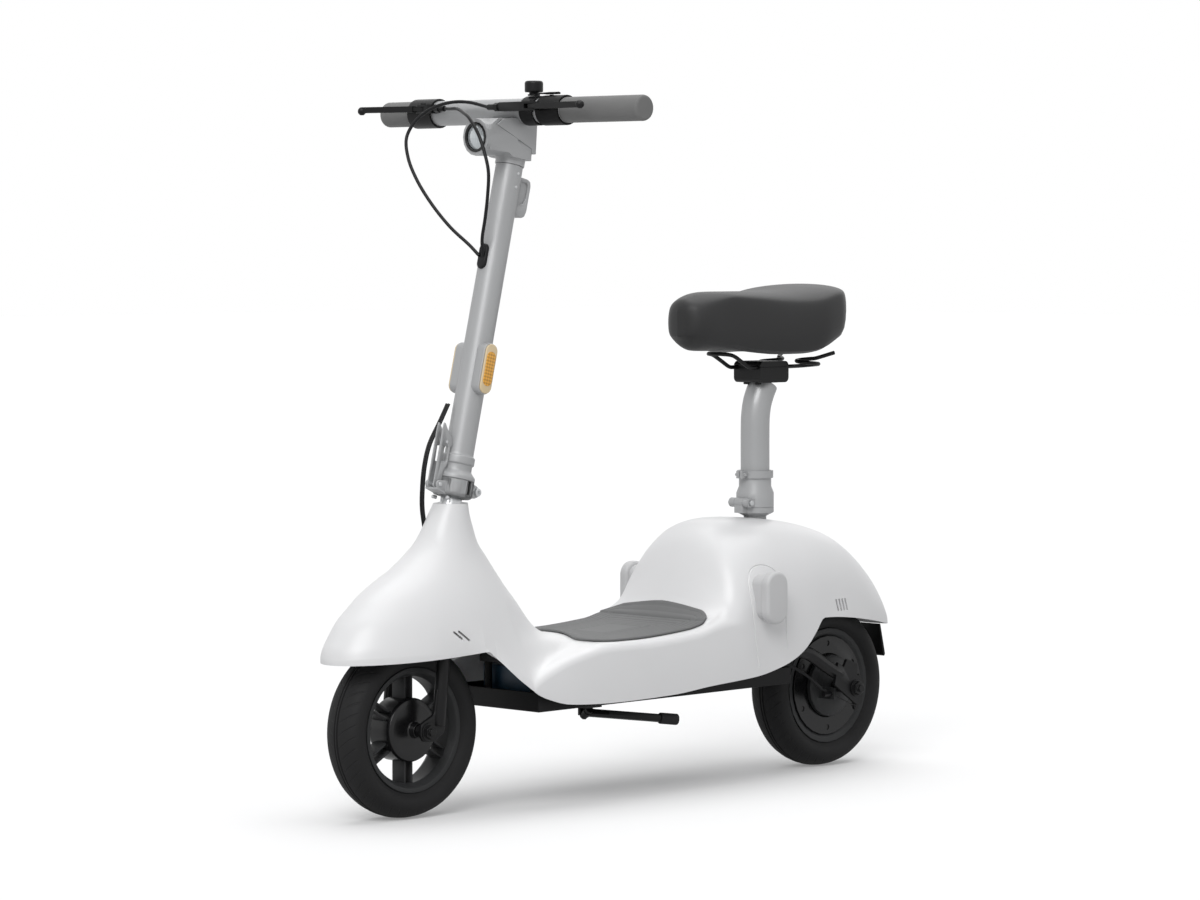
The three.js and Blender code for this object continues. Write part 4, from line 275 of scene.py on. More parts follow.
def finish_of(name):
    """The material of a finish, made on its first use."""
    if name not in FINISHES:
        colours = bpy.context.scene.scooter_colours
        makers = {
            "white moulding": lambda: moulded("satin_white", colours.body, 0.34, 0.012, 0.12),
            "grey moulding": lambda: moulded("light_grey_moulding", colours.pad, 0.42, 0.02),
            "black moulding": lambda: moulded("black_moulding", colours.black, 0.5, 0.05, 0.0,
                                              0.2),
            "mat rubber": lambda: rubber("mat_rubber", colours.mat, 0.6, 0.06),
            "silver paint": lambda: painted("silver_paint", colours.silver, 0.4, 0.02, 0.2),
            "black paint": lambda: painted("black_paint", colours.black, 0.4, 0.03, 0.0, 0.04,
                                           0.25),
            "dark wheel": lambda: painted("wheel_paint", colours.wheel, 0.46, 0.04, 0.0, 0.0,
                                          0.25),
            "gloss black": lambda: painted("gloss_black", colours.black, 0.24, 0.01, 0.0, 0.15,
                                          0.35),
            "bright metal": lambda: machined("bright_metal", (0.62, 0.63, 0.64), 0.3),
            "post alloy": lambda: painted("post_alloy", (0.45, 0.455, 0.46), 0.36, 0.01, 0.3),
            "grip rubber": lambda: rubber("grip_rubber", colours.grip, 0.62, 0.05),
            "cable sleeve": lambda: rubber("cable_sleeve", (0.012, 0.012, 0.013), 0.36, 0.01),
            "foot rubber": lambda: rubber("foot_rubber", (0.02, 0.02, 0.021), 0.7, 0.06),
            "cell wrap": lambda: moulded("cell_wrap", (0.03, 0.08, 0.14), 0.3, 0.02),
            "saddle cover": lambda: covered("saddle_cover", colours.saddle),
            "saddle base": lambda: moulded("saddle_base", (0.012, 0.012, 0.013), 0.5, 0.05),
            "amber lens": lambda: ribbed_lens("amber_lens", colours.amber),
            "amber cap": lambda: moulded("amber_cap", (0.78, 0.62, 0.38), 0.2, 0.01, 0.6),
            "clear lens": lambda: clear_lens("clear_lens", (0.62, 0.66, 0.68)),
            "front tread": lambda: tread("front_tread", colours.tyre, FRONT_AXLE_Y),
            "rear tread": lambda: tread("rear_tread", colours.tyre, REAR_AXLE_Y),
            "panel grey": lambda: moulded("panel_grey", (0.60, 0.60, 0.61), 0.42, 0.02),
        }
        FINISHES[name] = makers[name]()
    return FINISHES[name]


# Forms
def merged(form):
    bmesh.ops.remove_doubles(form, verts=form.verts, dist=0.002 * MM)
    bmesh.ops.recalc_face_normals(form, faces=form.faces)
    return form


def eased(rows, radius, steps=3, closed=False):
    """Rounds the corners of a profile, by at most a third of each side."""
    corners = [Vector(row) for row in rows]
    count = len(corners)
    made = []
    for i, corner in enumerate(corners):
        if not closed and i in (0, count - 1):
            made.append(tuple(corner))
            continue
        before = corners[i - 1] - corner
        after = corners[(i + 1) % count] - corner
        cut = min(radius, before.length / 3, after.length / 3)
        start = corner + before.normalized() * cut
        end = corner + after.normalized() * cut
        for k in range(steps + 1):
            t = k / steps
            made.append(tuple(start.lerp(corner, t).lerp(corner.lerp(end, t), t)))
    return made


def turned(rows, sides=96, place=Matrix.Identity(4), form=None):
    """A form turned about Z from rows of radius and height in millimetres."""
    made = bmesh.new()
    verts = [made.verts.new((radius * MM, 0, height * MM)) for radius, height in rows]
    for first, second in zip(verts, verts[1:]):
        made.edges.new((first, second))
    bmesh.ops.spin(made, geom=made.verts[:] + made.edges[:], cent=(0, 0, 0), axis=(0, 0, 1),
                   angle=math.tau, steps=sides, use_merge=True)
    merged(made)
    bmesh.ops.transform(made, matrix=place, verts=made.verts)
    return united(form, made)


def rodded(radius, start, end, sides=40, edge=0.4, place=Matrix.Identity(4), form=None):
    """A round bar between two places in millimetres, with its ends broken."""
    along = Vector(end) - Vector(start)
    length = along.length
    turn = along.to_track_quat("Z", "Y").to_matrix().to_4x4()
    rows = [(0, 0), (radius - edge, 0), (radius - edge * 0.3, edge * 0.3), (radius, edge),
            (radius, length - edge), (radius - edge * 0.3, length - edge * 0.3),
            (radius - edge, length), (0, length)]
    return turned(rows, sides, place @ Matrix.Translation(Vector(start) * MM) @ turn, form)


def mirrored_pair(form):
    """A form and its mirror image over the middle plane."""
    other = form.copy()
    bmesh.ops.scale(other, vec=(-1, 1, 1), verts=other.verts)
    bmesh.ops.reverse_faces(other, faces=other.faces)
    return united(form, other)


def united(form, other):
    """Adds the faces of one form to another."""
    if form is None:
        return other
    mesh = bpy.data.meshes.new("joined")
    other.to_mesh(mesh)
    other.free()
    form.from_mesh(mesh)
    bpy.data.meshes.remove(mesh)
    return form


def plated(rows, low, high, place=Matrix.Identity(4), edge=0.6, segments=3, form=None):
    """An outline in X and Y made a plate from low to high, with its edges broken."""
    made = bmesh.new()
    face = made.faces.new([made.verts.new((x * MM, y * MM, low * MM)) for x, y in rows])
    grown = bmesh.ops.extrude_face_region(made, geom=[face])
    top = [v for v in grown["geom"] if isinstance(v, bmesh.types.BMVert)]
    bmesh.ops.translate(made, verts=top, vec=(0, 0, (high - low) * MM))
    bmesh.ops.recalc_face_normals(made, faces=made.faces)
    if edge:
        rims = [e for e in made.edges if e.calc_face_angle(0) > math.radians(60)
                and abs(e.verts[0].co.z - e.verts[1].co.z) < 1e-7]
        bmesh.ops.bevel(made, geom=rims, offset=edge * MM, segments=segments, profile=0.5,
                        affect="EDGES", material=-1)
    bmesh.ops.transform(made, matrix=place, verts=made.verts)
    return united(form, made)


def rounded(half_x, half_y, radius, centre=(0, 0), steps=8):
    """Outline of a rectangle with round corners."""
    rows = []
    for corner in range(4):
        sx, sy = ((1, 1), (-1, 1), (-1, -1), (1, -1))[corner]
        for k in range(steps + 1):
            angle = (corner + k / steps) * math.pi / 2
            rows.append((centre[0] + sx * (half_x - radius) + radius * math.cos(angle),
                         centre[1] + sy * (half_y - radius) + radius * math.sin(angle)))
    return rows


def smooth_path(points, count):
    """Places along one smooth curve through the points."""
    given = [Vector(p) for p in points]
    line = [2 * given[0] - given[1], *given, 2 * given[-1] - given[-2]]
    spans = []
    for i in range(1, len(line) - 2):
        knots = [0.0]
        for a, b in zip(line[i - 1:i + 2], line[i:i + 3]):
            knots.append(knots[-1] + max((b - a).length, 1e-6) ** 0.5)
        spans.append((line[i - 1:i + 3], knots))
    made = []
    for k in range(count + 1):
        spot = k / count * len(spans)
        (p0, p1, p2, p3), (t0, t1, t2, t3) = spans[min(int(spot), len(spans) - 1)]
        t = t1 + (t2 - t1) * (spot - min(int(spot), len(spans) - 1))
        a1 = p0 * ((t1 - t) / (t1 - t0)) + p1 * ((t - t0) / (t1 - t0))
        a2 = p1 * ((t2 - t) / (t2 - t1)) + p2 * ((t - t1) / (t2 - t1))
        a3 = p2 * ((t3 - t) / (t3 - t2)) + p3 * ((t - t2) / (t3 - t2))
        b1 = a1 * ((t2 - t) / (t2 - t0)) + a2 * ((t - t0) / (t2 - t0))
        b2 = a2 * ((t3 - t) / (t3 - t1)) + a3 * ((t - t1) / (t3 - t1))
        made.append(b1 * ((t2 - t) / (t2 - t1)) + b2 * ((t - t1) / (t2 - t1)))
    return made


def swept(points, radius, count=96, resolution=6, place=Matrix.Identity(4), form=None):
    """A round bar or sleeve along a smooth path, in millimetres."""
    line = bpy.data.curves.new("route", "CURVE")
    line.dimensions = "3D"
    spline = line.splines.new("POLY")
    path = smooth_path(points, count)
    spline.points.add(len(path) - 1)
    for point, spot in zip(spline.points, path):
        point.co = (*(spot * MM), 1)
    line.bevel_depth = radius * MM
    line.bevel_resolution = resolution
    line.use_fill_caps = True
    holder = bpy.data.objects.new("route", line)
    mesh = bpy.data.meshes.new_from_object(holder)
    made = bmesh.new()
    made.from_mesh(mesh)
    bpy.data.objects.remove(holder)
    bpy.data.curves.remove(line)
    bpy.data.meshes.remove(mesh)
    merged(made)
    bmesh.ops.transform(made, matrix=place, verts=made.verts)
    return united(form, made)


def recast(node, form=None):
    """A welded copy of a solid, with its flat faces whole."""
    made = bmesh.new()
    made.from_mesh(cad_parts[node].data)
    bmesh.ops.remove_doubles(made, verts=made.verts, dist=0.004 * MM)
    bmesh.ops.dissolve_limit(made, angle_limit=math.radians(0.7), verts=made.verts,
                             edges=made.edges)
    return united(form, made)


def placed(name, form, body, finish, nodes=(), edge=0.0, angle=34):
    """Makes a form an object that rides on a body and stands for its nodes."""
    mesh = bpy.data.meshes.new(name)
    form.to_mesh(mesh)
    form.free()
    for polygon in mesh.polygons:
        polygon.use_smooth = True
    mesh.set_sharp_from_angle(angle=math.radians(angle))
    piece = bpy.data.objects.new(name, mesh)
    bpy.context.scene.collection.objects.link(piece)
    mesh.materials.append(finish_of(finish))
    if edge:
        bevel = piece.modifiers.new("broken edges", "BEVEL")
        bevel.width = edge * MM
        bevel.segments = 2
        bevel.limit_method = "ANGLE"
        bevel.angle_limit = math.radians(angle)
        bevel.harden_normals = True
    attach(piece, body)
    if nodes:
        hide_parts(*nodes)
    return piece


def cut(piece, cutters):
    """Cuts forms out of a piece, and applies the result."""
    tools = []
    for i, form in enumerate(cutters):
        mesh = bpy.data.meshes.new("cutter")
        form.to_mesh(mesh)
        form.free()
        tool = bpy.data.objects.new("cutter", mesh)
        bpy.context.scene.collection.objects.link(tool)
        tools.append(tool)
        knife = piece.modifiers.new(f"cut {i}", "BOOLEAN")
        knife.object = tool
        knife.operation = "DIFFERENCE"
        knife.solver = "EXACT"
    applied(piece)
    for tool in tools:
        mesh = tool.data
        bpy.data.objects.remove(tool)
        bpy.data.meshes.remove(mesh)


def melted(piece, grain, rounds):
    """Runs a casting's forms together with soft inner corners."""
    melt = piece.modifiers.new("melt", "REMESH")
    melt.mode = "VOXEL"
    melt.voxel_size = grain * MM
    melt.use_smooth_shade = True
    ease = piece.modifiers.new("ease", "SMOOTH")
    ease.factor = 0.5
    ease.iterations = rounds
    applied(piece)
    return piece


def applied(piece):
    """Applies a piece's modifiers to its mesh."""
    bpy.context.view_layer.update()
    graph = bpy.context.evaluated_depsgraph_get()
    mesh = bpy.data.meshes.new_from_object(piece.evaluated_get(graph))
    old = piece.data
    piece.modifiers.clear()
    piece.data = mesh
    bpy.data.meshes.remove(old)


def behind(back):
    return FRONT_AXLE_Y + back


def bar_place(x=0.0):
    return Matrix.Translation(Vector((x, -215.7, 1010.2)) * MM) @ TO_X


# The moulded body: a height over each place in plan
def smooth_rows(rows, column=1):
    xs = [row[0] for row in rows]
    ys = [row[column] for row in rows]
    rises = [(ys[i + 1] - ys[i]) / (xs[i + 1] - xs[i]) for i in range(len(xs) - 1)]
    slopes = [rises[0]]
    for a, b in zip(rises, rises[1:]):
        slopes.append(0.0 if a * b <= 0 else 2 * a * b / (a + b))
    slopes.append(rises[-1])

    def value(x):
        if x <= xs[0]:
            return ys[0]
        if x >= xs[-1]:
            return ys[-1]
        i = bisect.bisect_right(xs, x) - 1
        width = xs[i + 1] - xs[i]
        t = (x - xs[i]) / width
        t2, t3 = t * t, t * t * t
        return ((2 * t3 - 3 * t2 + 1) * ys[i] + (t3 - 2 * t2 + t) * width * slopes[i]
                + (3 * t2 - 2 * t3) * ys[i + 1] + (t3 - t2) * width * slopes[i + 1])

    return value


class BodyForm:
    """The outer surface of the moulded body, in millimetres."""

    nose_y, length, neck_top, half_width, rounding, span = -573.0, 1141.0, 446.0, 130.0, 14.0, 26.0
    base_z, side_reach, front_reach, rear_reach = 240.0, 91.0, 181.5, 220.0
    tail_y, tail_reach = 345.0, 223.0
    ring = [
        (-0.62, 1.42, 1, 1.7), (-0.437, 1.33, 1, 1.64), (-0.243, 1.187, 1, 1.5),
        (-0.097, 1.066, 1, 1.36), (0, 1, 1, 1.18), (0.034, 0.989, 0.997, 1.023),
        (0.107, 0.956, 0.969, 0.873), (0.209, 0.901, 0.918, 0.755), (0.291, 0.846, 0.84, 0.673),
        (0.388, 0.758, 0.74, 0.568), (0.471, 0.681, 0.611, 0.486), (0.544, 0.604, 0.471, 0.418),
        (0.626, 0.522, 0.36, 0.343), (0.723, 0.44, 0.252, 0.25), (0.825, 0.363, 0.204, 0.195),
        (0.922, 0.313, 0.171, 0.143), (1, 0.275, 0.138, 0.114),
    ]
    sill_of = staticmethod(smooth_rows([
        (0, 0.51), (0.077, 0.517), (0.165, 0.529), (0.191, 0.534), (0.199, 0.52), (0.247, 0.421),
        (0.277, 0.371), (0.316, 0.345), (0.378, 0.339), (0.49, 0.345), (0.559, 0.36), (0.65, 0.377),
        (0.701, 0.404), (0.726, 0.428), (0.748, 0.464), (0.765, 0.507), (0.783, 0.554),
        (0.967, 0.496), (1, 0.484),
    ]))
    deck_of = staticmethod(smooth_rows([
        (0.226, 0.336), (0.252, 0.41), (0.28, 0.46), (0.326, 0.507), (0.384, 0.534),
        (0.428, 0.534), (0.533, 0.549), (0.588, 0.578), (0.647, 0.587), (1, 0.48),
    ]))
    hump_of = staticmethod(smooth_rows([
        (0.564, 0.545), (0.573, 0.57), (0.584, 0.61), (0.595, 0.673), (0.604, 0.729),
        (0.613, 0.785), (0.623, 0.834), (0.638, 0.87), (0.657, 0.889), (0.696, 0.895),
        (0.735, 0.891), (0.775, 0.88), (0.822, 0.853), (0.866, 0.807), (0.918, 0.725),
        (0.962, 0.607), (0.989, 0.525), (1, 0.49),
    ]))
    hump_base_of = staticmethod(smooth_rows([
        (0.559, 0.538), (0.734, 0.538), (0.784, 0.558), (0.967, 0.5), (1, 0.488),
    ]))
    width_of = staticmethod(smooth_rows([
        (0.159, 0.7), (0.191, 0.735), (0.247, 0.8), (0.285, 0.869), (0.326, 0.931),
        (0.384, 0.977), (0.454, 1), (0.734, 1), (0.805, 0.962),
    ]))
    roundness_of = staticmethod(smooth_rows([
        (0.564, 1.5), (0.604, 1.6), (0.623, 1.9), (0.657, 2.3), (0.696, 2.8), (0.734, 3),
        (0.822, 3.4), (0.91, 2.53), (1, 2),
    ]))
    ring_side = staticmethod(smooth_rows(ring, 1))
    ring_front = staticmethod(smooth_rows(ring, 2))
    ring_rear = staticmethod(smooth_rows(ring, 3))
    across = [0, 0.15, 0.3, 0.46, 0.62, 0.78, 0.92, 1]
    deck_rows = [0.262, 0.279, 0.3, 0.335, 0.375, 0.425, 0.485, 0.54]
    hump_rows = [0.568, 0.584, 0.599, 0.613, 0.628, 0.65, 0.69, 0.73, 0.7625, 0.784, 0.83, 0.88,
                 0.925, 0.96, 0.985, 1]
    radii = [0, 12.5, 25, 27.5, 32, 39, 49, 62]
    squareness = [0, 0, 0, 0, 0.05, 0.2, 0.45, 1]

    def __init__(self):
        self.centre_y = self.axis_y(self.base_z)
        self.neck_y = self.axis_y(self.neck_top)
        reach = self.centre_y - self.nose_y
        noses = [self.centre_y - reach * math.sin(math.radians(a)) for a in (90, 83, 72, 57, 40, 20)]
        noses = [y for y in noses if y < self.neck_y - 64]
        necks = [self.neck_y + (i - 6) * 10 for i in range(13)]
        shares = self.deck_rows + self.hump_rows
        self.rows = noses + necks + [self.nose_y + share * self.length for share in shares]
        self.neck_row = len(noses) + 6

    def axis_y(self, z):
        return -417.6 + (z - AXLE_Z) * math.tan(RAKE)

    def share(self, y):
        return (y - self.nose_y) / self.length

    def sill(self, y):
        return self.sill_of(self.share(y)) * self.neck_top

    def half_at(self, y):
        if y < self.centre_y:
            t = min(1.0, (self.centre_y - y) / (self.centre_y - self.nose_y))
            return self.side_reach * math.sqrt(1 - t * t)
        if y > self.tail_y:
            t = min(1.0, (y - self.tail_y) / self.tail_reach)
            return self.width_of(self.share(self.tail_y)) * self.half_width * math.sqrt(1 - t * t)
        return self.width_of(self.share(y)) * self.half_width

    def fairing(self, x, y):
        span = self.neck_top - self.base_z

        def inside(share):
            centre = self.axis_y(self.base_z + share * span)
            reach = (self.ring_front(share) * self.front_reach if y < centre
                     else self.ring_rear(share) * self.rear_reach)
            return (x / (self.ring_side(share) * self.side_reach)) ** 2 + (
                (y - centre) / reach) ** 2 < 1

        low, high = self.ring[0][0], 1.0
        if inside(high):
            return self.neck_top
        if not inside(low):
            return self.base_z + low * span
        for _ in range(18):
            middle = (low + high) / 2
            if inside(middle):
                low = middle
            else:
                high = middle
        return self.base_z + low * span

    def deck(self, x, y):
        edge = max(0.0, abs(x) - (self.half_at(y) - self.rounding)) / self.rounding
        drop = self.rounding * (1 - math.sqrt(max(0.0, 1 - edge * edge)))
        return self.deck_of(self.share(y)) * self.neck_top - drop

    def hump(self, x, y):
        share = self.share(y)
        if share < 0.564:
            return 0.0
        across = min(1.0, abs(x) / max(self.half_at(y), 0.3))
        round_by = self.roundness_of(share)
        base = self.hump_base_of(share)
        crown = max(0.0, 1 - across ** round_by) ** (1 / round_by)
        return (base + (self.hump_of(share) - base) * crown) * self.neck_top

    def height(self, x, y):
        def blended(a, b, span):
            near = max(0.0, span - abs(a - b)) / span
            return max(a, b) + near * near * span / 4

        fade = min(1.0, max(0.0, (self.half_at(y) - abs(x)) / self.rounding))
        span = max(0.3, self.span * fade)
        deck = self.deck(x, y) if y > self.neck_y else 0.0
        with_deck = blended(self.fairing(x, y), deck, span)
        return max(blended(with_deck, self.hump(x, y), span), self.sill(y) + 0.3)

    def plan(self, row, column):
        at = min(int(row), len(self.rows) - 2)
        y = self.rows[at] + (self.rows[at + 1] - self.rows[at]) * (row - at)
        side, size = math.copysign(1, column), abs(column)
        k = min(int(size), 6)
        part = size - k
        if k == 6:
            part = math.sin(part * math.pi / 2)
        x = side * (self.across[k] + (self.across[k + 1] - self.across[k]) * part) * self.half_at(y)
        away = row - self.neck_row
        level = max(abs(away), size)
        if level < 1e-6 or level >= 7:
            return x, y
        k = int(level)
        radius = self.radii[k] + (self.radii[k + 1] - self.radii[k]) * (level - k)
        square = self.squareness[k] + (self.squareness[k + 1] - self.squareness[k]) * (level - k)
        if size >= abs(away):
            lean = away / level * math.pi / 4
            spot = (side * radius * math.cos(lean), self.neck_y + radius * math.sin(lean))
        else:
            lean = column / level * math.pi / 4
            spot = (radius * math.sin(lean),
                    self.neck_y + math.copysign(1, away) * radius * math.cos(lean))
        return x * square + spot[0] * (1 - square), y * square + spot[1] * (1 - square)


BODY = BodyForm()


class ColourSettings(bpy.types.PropertyGroup):
    """Colours of the scooter's finishes."""

    def shade(name, description, value):
        return bpy.props.FloatVectorProperty(name=name, description=description, default=value,
                                             subtype="COLOR", size=3, min=0, max=1)

    body: shade("Body", "Satin white of the moulded body", (0.80, 0.80, 0.805))
    pad: shade("Pads", "Light grey of the leg pads", (0.60, 0.60, 0.605))
    mat: shade("Mat", "Grey of the foot mat", (0.165, 0.167, 0.167))
    silver: shade("Silver", "Silver paint of the stem", (0.43, 0.435, 0.44))
    black: shade("Black", "Black of the frame and controls", (0.0065, 0.0065, 0.007))
    wheel: shade("Wheels", "Dark paint of the rims", (0.032, 0.033, 0.034))
    tyre: shade("Tyres", "Tyre rubber", (0.011, 0.011, 0.0115))
    grip: shade("Grips", "Grey of the grips", (0.20, 0.20, 0.198))
    saddle: shade("Saddle", "Saddle cover", (0.021, 0.021, 0.0215))
    amber: shade("Reflectors", "Amber of the side reflectors", (0.78, 0.36, 0.03))


class SizeSettings(bpy.types.PropertyGroup):
    """Sizes that finish the pieces without changing the solids' sizes."""

    shell_wall: bpy.props.FloatProperty(
        name="Shell wall", description="Wall of the moulded body", default=0.0038, unit="LENGTH")
    groove_pitch: bpy.props.FloatProperty(
        name="Mat groove pitch", description="Distance between the mat's grooves",
        default=0.0092, unit="LENGTH")
    groove_depth: bpy.props.FloatProperty(
        name="Mat groove depth", description="Depth of the mat's grooves",
        default=0.0011, unit="LENGTH")
    edge: bpy.props.FloatProperty(
        name="Broken edge", description="Bevel on the cast and moulded small parts",
        default=0.0006, unit="LENGTH")
    fine: bpy.props.IntProperty(
        name="Fineness", description="Steps between two rows of the body", default=4, min=2, max=6)


class BuildBody(bpy.types.Operator):
    """Moulded body shell with its slots, vents and bores"""

    bl_idname = "scooter.body"
    bl_label = "Body shell"

    def execute(self, context):
        sizes = context.scene.scooter_sizes
        fine = sizes.fine
        rows = (len(BODY.rows) - 1) * fine
        columns = 14 * fine + 2
        form = bmesh.new()
        bmesh.ops.create_grid(form, x_segments=columns, y_segments=rows, size=0.5)
        for vert in form.verts:
            row = round((vert.co.y + 0.5) * rows)
            column = round((vert.co.x + 0.5) * columns) - 1
            spread = min(max(column / fine - 7, -7), 7)
            x, y = BODY.plan(row / fine, spread)
            skirt = column < 0 or column > 14 * fine
            z = BODY.sill(y) if skirt else BODY.height(x, y)
            vert.co = Vector((x, y, z)) * MM
        merged(form)
        if sum(face.normal.z for face in form.faces) < 0:
            bmesh.ops.reverse_faces(form, faces=form.faces)
        body = placed("moulded_body", form, "chassis", "white moulding", ["body_shell"], angle=40)
        wall = body.modifiers.new("wall", "SOLIDIFY")
        wall.thickness = sizes.shell_wall
        wall.offset = -1
        wall.use_even_offset = True
        wall.thickness_clamp = 1.0
        applied(body)
        cut(body, self.cutters())
        body.data.set_sharp_from_angle(angle=math.radians(38))
        return {"FINISHED"}

    def cutters(self):
        made = []
        turn = Matrix.Rotation(math.radians(90), 4, "Y")
        for side in (1, -1):
            for back, z, length in ((30, 264, 20), (41, 263, 25)):
                place = (Matrix.Translation(Vector((side * 92, behind(back), z)) * MM)
                         @ Matrix.Rotation(math.radians(52), 4, "X") @ turn)
                made.append(plated(rounded(length / 2, 1.6, 1.5, steps=4), -16, 16, place, edge=0))
            for i in range(4):
                place = (Matrix.Translation(
                    Vector((side * 122, behind(786.5 + i * 7.1), 264.0)) * MM)
                    @ Matrix.Rotation(math.radians(19), 4, "X") @ turn)
                made.append(plated(rounded(10.5, 1.7, 1.6, steps=4), -16, 16, place, edge=0))
            made.append(self.panel_line(side))
        made.append(turned([(0, 190), (17.6, 190), (17.6, 362), (0, 362)], 64, COLUMN))
        seat = Matrix.Translation(Vector((0, behind(734.5), 0)) * MM)
        made.append(turned([(0, 236), (18.6, 236), (18.6, 412), (0, 412)], 64, seat))
        return made


    def panel_line(self, side):
        """A round cutter that follows the panel's edge over the side of the body."""
        def on_side(back, z):
            y, low, high = behind(back), 30.0, BODY.half_at(behind(back))
            for _ in range(24):
                middle = (low + high) / 2
                if BODY.height(middle, y) > z:
                    low = middle
                else:
                    high = middle
            return (side * low, y, z)

        edge = [(606, 181), (598, 222), (594, 262), (594, 300), (598, 317), (608, 329), (623, 333.5),
                (638, 331), (651, 322), (660, 305), (664, 280), (665, 240), (667, 206)]
        return swept([on_side(back, z) for back, z in edge], 1.6, 160, 3)


class BuildDeck(bpy.types.Operator):
    """Foot mat with its contour grooves, and the leg pads"""

    bl_idname = "scooter.deck"
    bl_label = "Foot mat and pads"

    front, rear, half, corner, rise = 292.0, 531.0, 113.0, 36.0, 4.1

    def execute(self, context):
        sizes = context.scene.scooter_sizes
        self.mat(sizes)
        for side, name in ((1, "left"), (-1, "right")):
            self.pad(side, name)
        return {"FINISHED"}

    def mat(self, sizes):
        form = bmesh.new()
        across, along = 150, 150
        bmesh.ops.create_grid(form, x_segments=across, y_segments=along, size=1.0)
        middle = (self.front + self.rear) / 2
        reach = (self.rear - self.front) / 2
        for vert in form.verts:
            u, v = vert.co.x, vert.co.y
            y = behind(middle + v * reach)
            past = max(0.0, abs(v * reach) - (reach - self.corner))
            corner = self.corner - math.sqrt(max(0.0, self.corner ** 2 - past ** 2))
            wide = min(self.half, BODY.half_at(y) - BODY.rounding) - corner
            x = u * wide
            edge = min(wide - abs(x), reach - abs(v * reach))
            inner = max(abs(x) - (self.half - self.corner), 0), max(
                abs(v * reach) - (reach - self.corner), 0)
            if inner[0] > 0 and inner[1] > 0:
                edge = min(edge, self.corner - math.hypot(*inner))
            z = BODY.height(x, y) + self.rise
            z -= self.groove(edge, sizes) / MM
            vert.co = Vector((x, y, z)) * MM
        bmesh.ops.recalc_face_normals(form, faces=form.faces)
        if sum(face.normal.z for face in form.faces) < 0:
            bmesh.ops.reverse_faces(form, faces=form.faces)
        mat = placed("ribbed_mat", form, "chassis", "mat rubber", ["foot_mat"], angle=50)
        wall = mat.modifiers.new("thickness", "SOLIDIFY")
        wall.thickness = 0.0037
        wall.offset = -1
        applied(mat)

    def groove(self, edge, sizes):
        """Depth of the mat's surface at a distance from its edge."""
        rim = max(0.0, 1 - edge / 2.2)
        depth = 2.2 * MM * (1 - math.sqrt(max(0.0, 1 - rim * rim)))
        pitch = sizes.groove_pitch / MM
        ring = (edge - 6) / pitch
        if 0 <= ring <= 8.5:
            near = abs(ring - round(ring)) * pitch
            depth += sizes.groove_depth * max(0.0, 1 - (near / 1.3) ** 2)
        return depth

    def pad(self, side, name):
        face = rounded(23, 39.5, 20.7, (behind(618), 287), steps=14)
        form = plated(face, 141, 158, ACROSS, edge=5.5, segments=7)
        stalk = rounded(18, 34, 16.2, (behind(618), 287), steps=12)
        form = plated(stalk, 119, 144, ACROSS, edge=2.4, segments=5, form=form)
        if side < 0:
            bmesh.ops.scale(form, vec=(-1, 1, 1), verts=form.verts)
            bmesh.ops.reverse_faces(form, faces=form.faces)
        placed(f"leg_pad_{name}", form, "chassis", "grey moulding", [f"side_pad_{name}"])


class BuildChassis(bpy.types.Operator):
    """Frame, tray, battery, arms, flap and stand"""

    bl_idname = "scooter.chassis"
    bl_label = "Chassis parts"

    def execute(self, context):
        edge = context.scene.scooter_sizes.edge / MM
        for node, name, body, finish, broken, slot in (
            ("belly_tray", "tray", "chassis", "black moulding", 2.0, "tray_black"),
            ("battery_pack", "battery", "chassis", "cell wrap", 1.0, "battery_wrap"),
            ("main_frame", "welded_frame", "chassis", "black paint", edge, "frame_black"),
            ("headset_bearing_upper", "upper_bearing", "chassis", "bright metal", 0.4,
             "bright_steel"),
            ("headset_bearing_lower", "lower_bearing", "chassis", "bright metal", 0.4,
             "bright_steel"),
            ("rear_arms", "arms", "chassis", "black paint", edge, "frame_black"),
            ("mudflap", "flap", "chassis", "black moulding", edge, "control_black"),
            ("kickstand_bracket", "stand_bracket", "chassis", "black paint", 0.4, "frame_black"),
            ("kickstand_leg", "stand_leg", "kickstand", "black paint", 0.4, "frame_black"),
            ("kickstand_foot", "stand_foot", "kickstand", "foot rubber", 1.0, "tyre_rubber"),
            ("brake_arm", "cam_arm", "brake_cam", "black paint", 0.4, "frame_black"),
            ("brake_cable_rear", "rear_cable", "chassis", "cable sleeve", 0.2, "cable_black"),
        ):
            placed(name, recast(node), body, finish, [node], edge=broken)
        return {"FINISHED"}


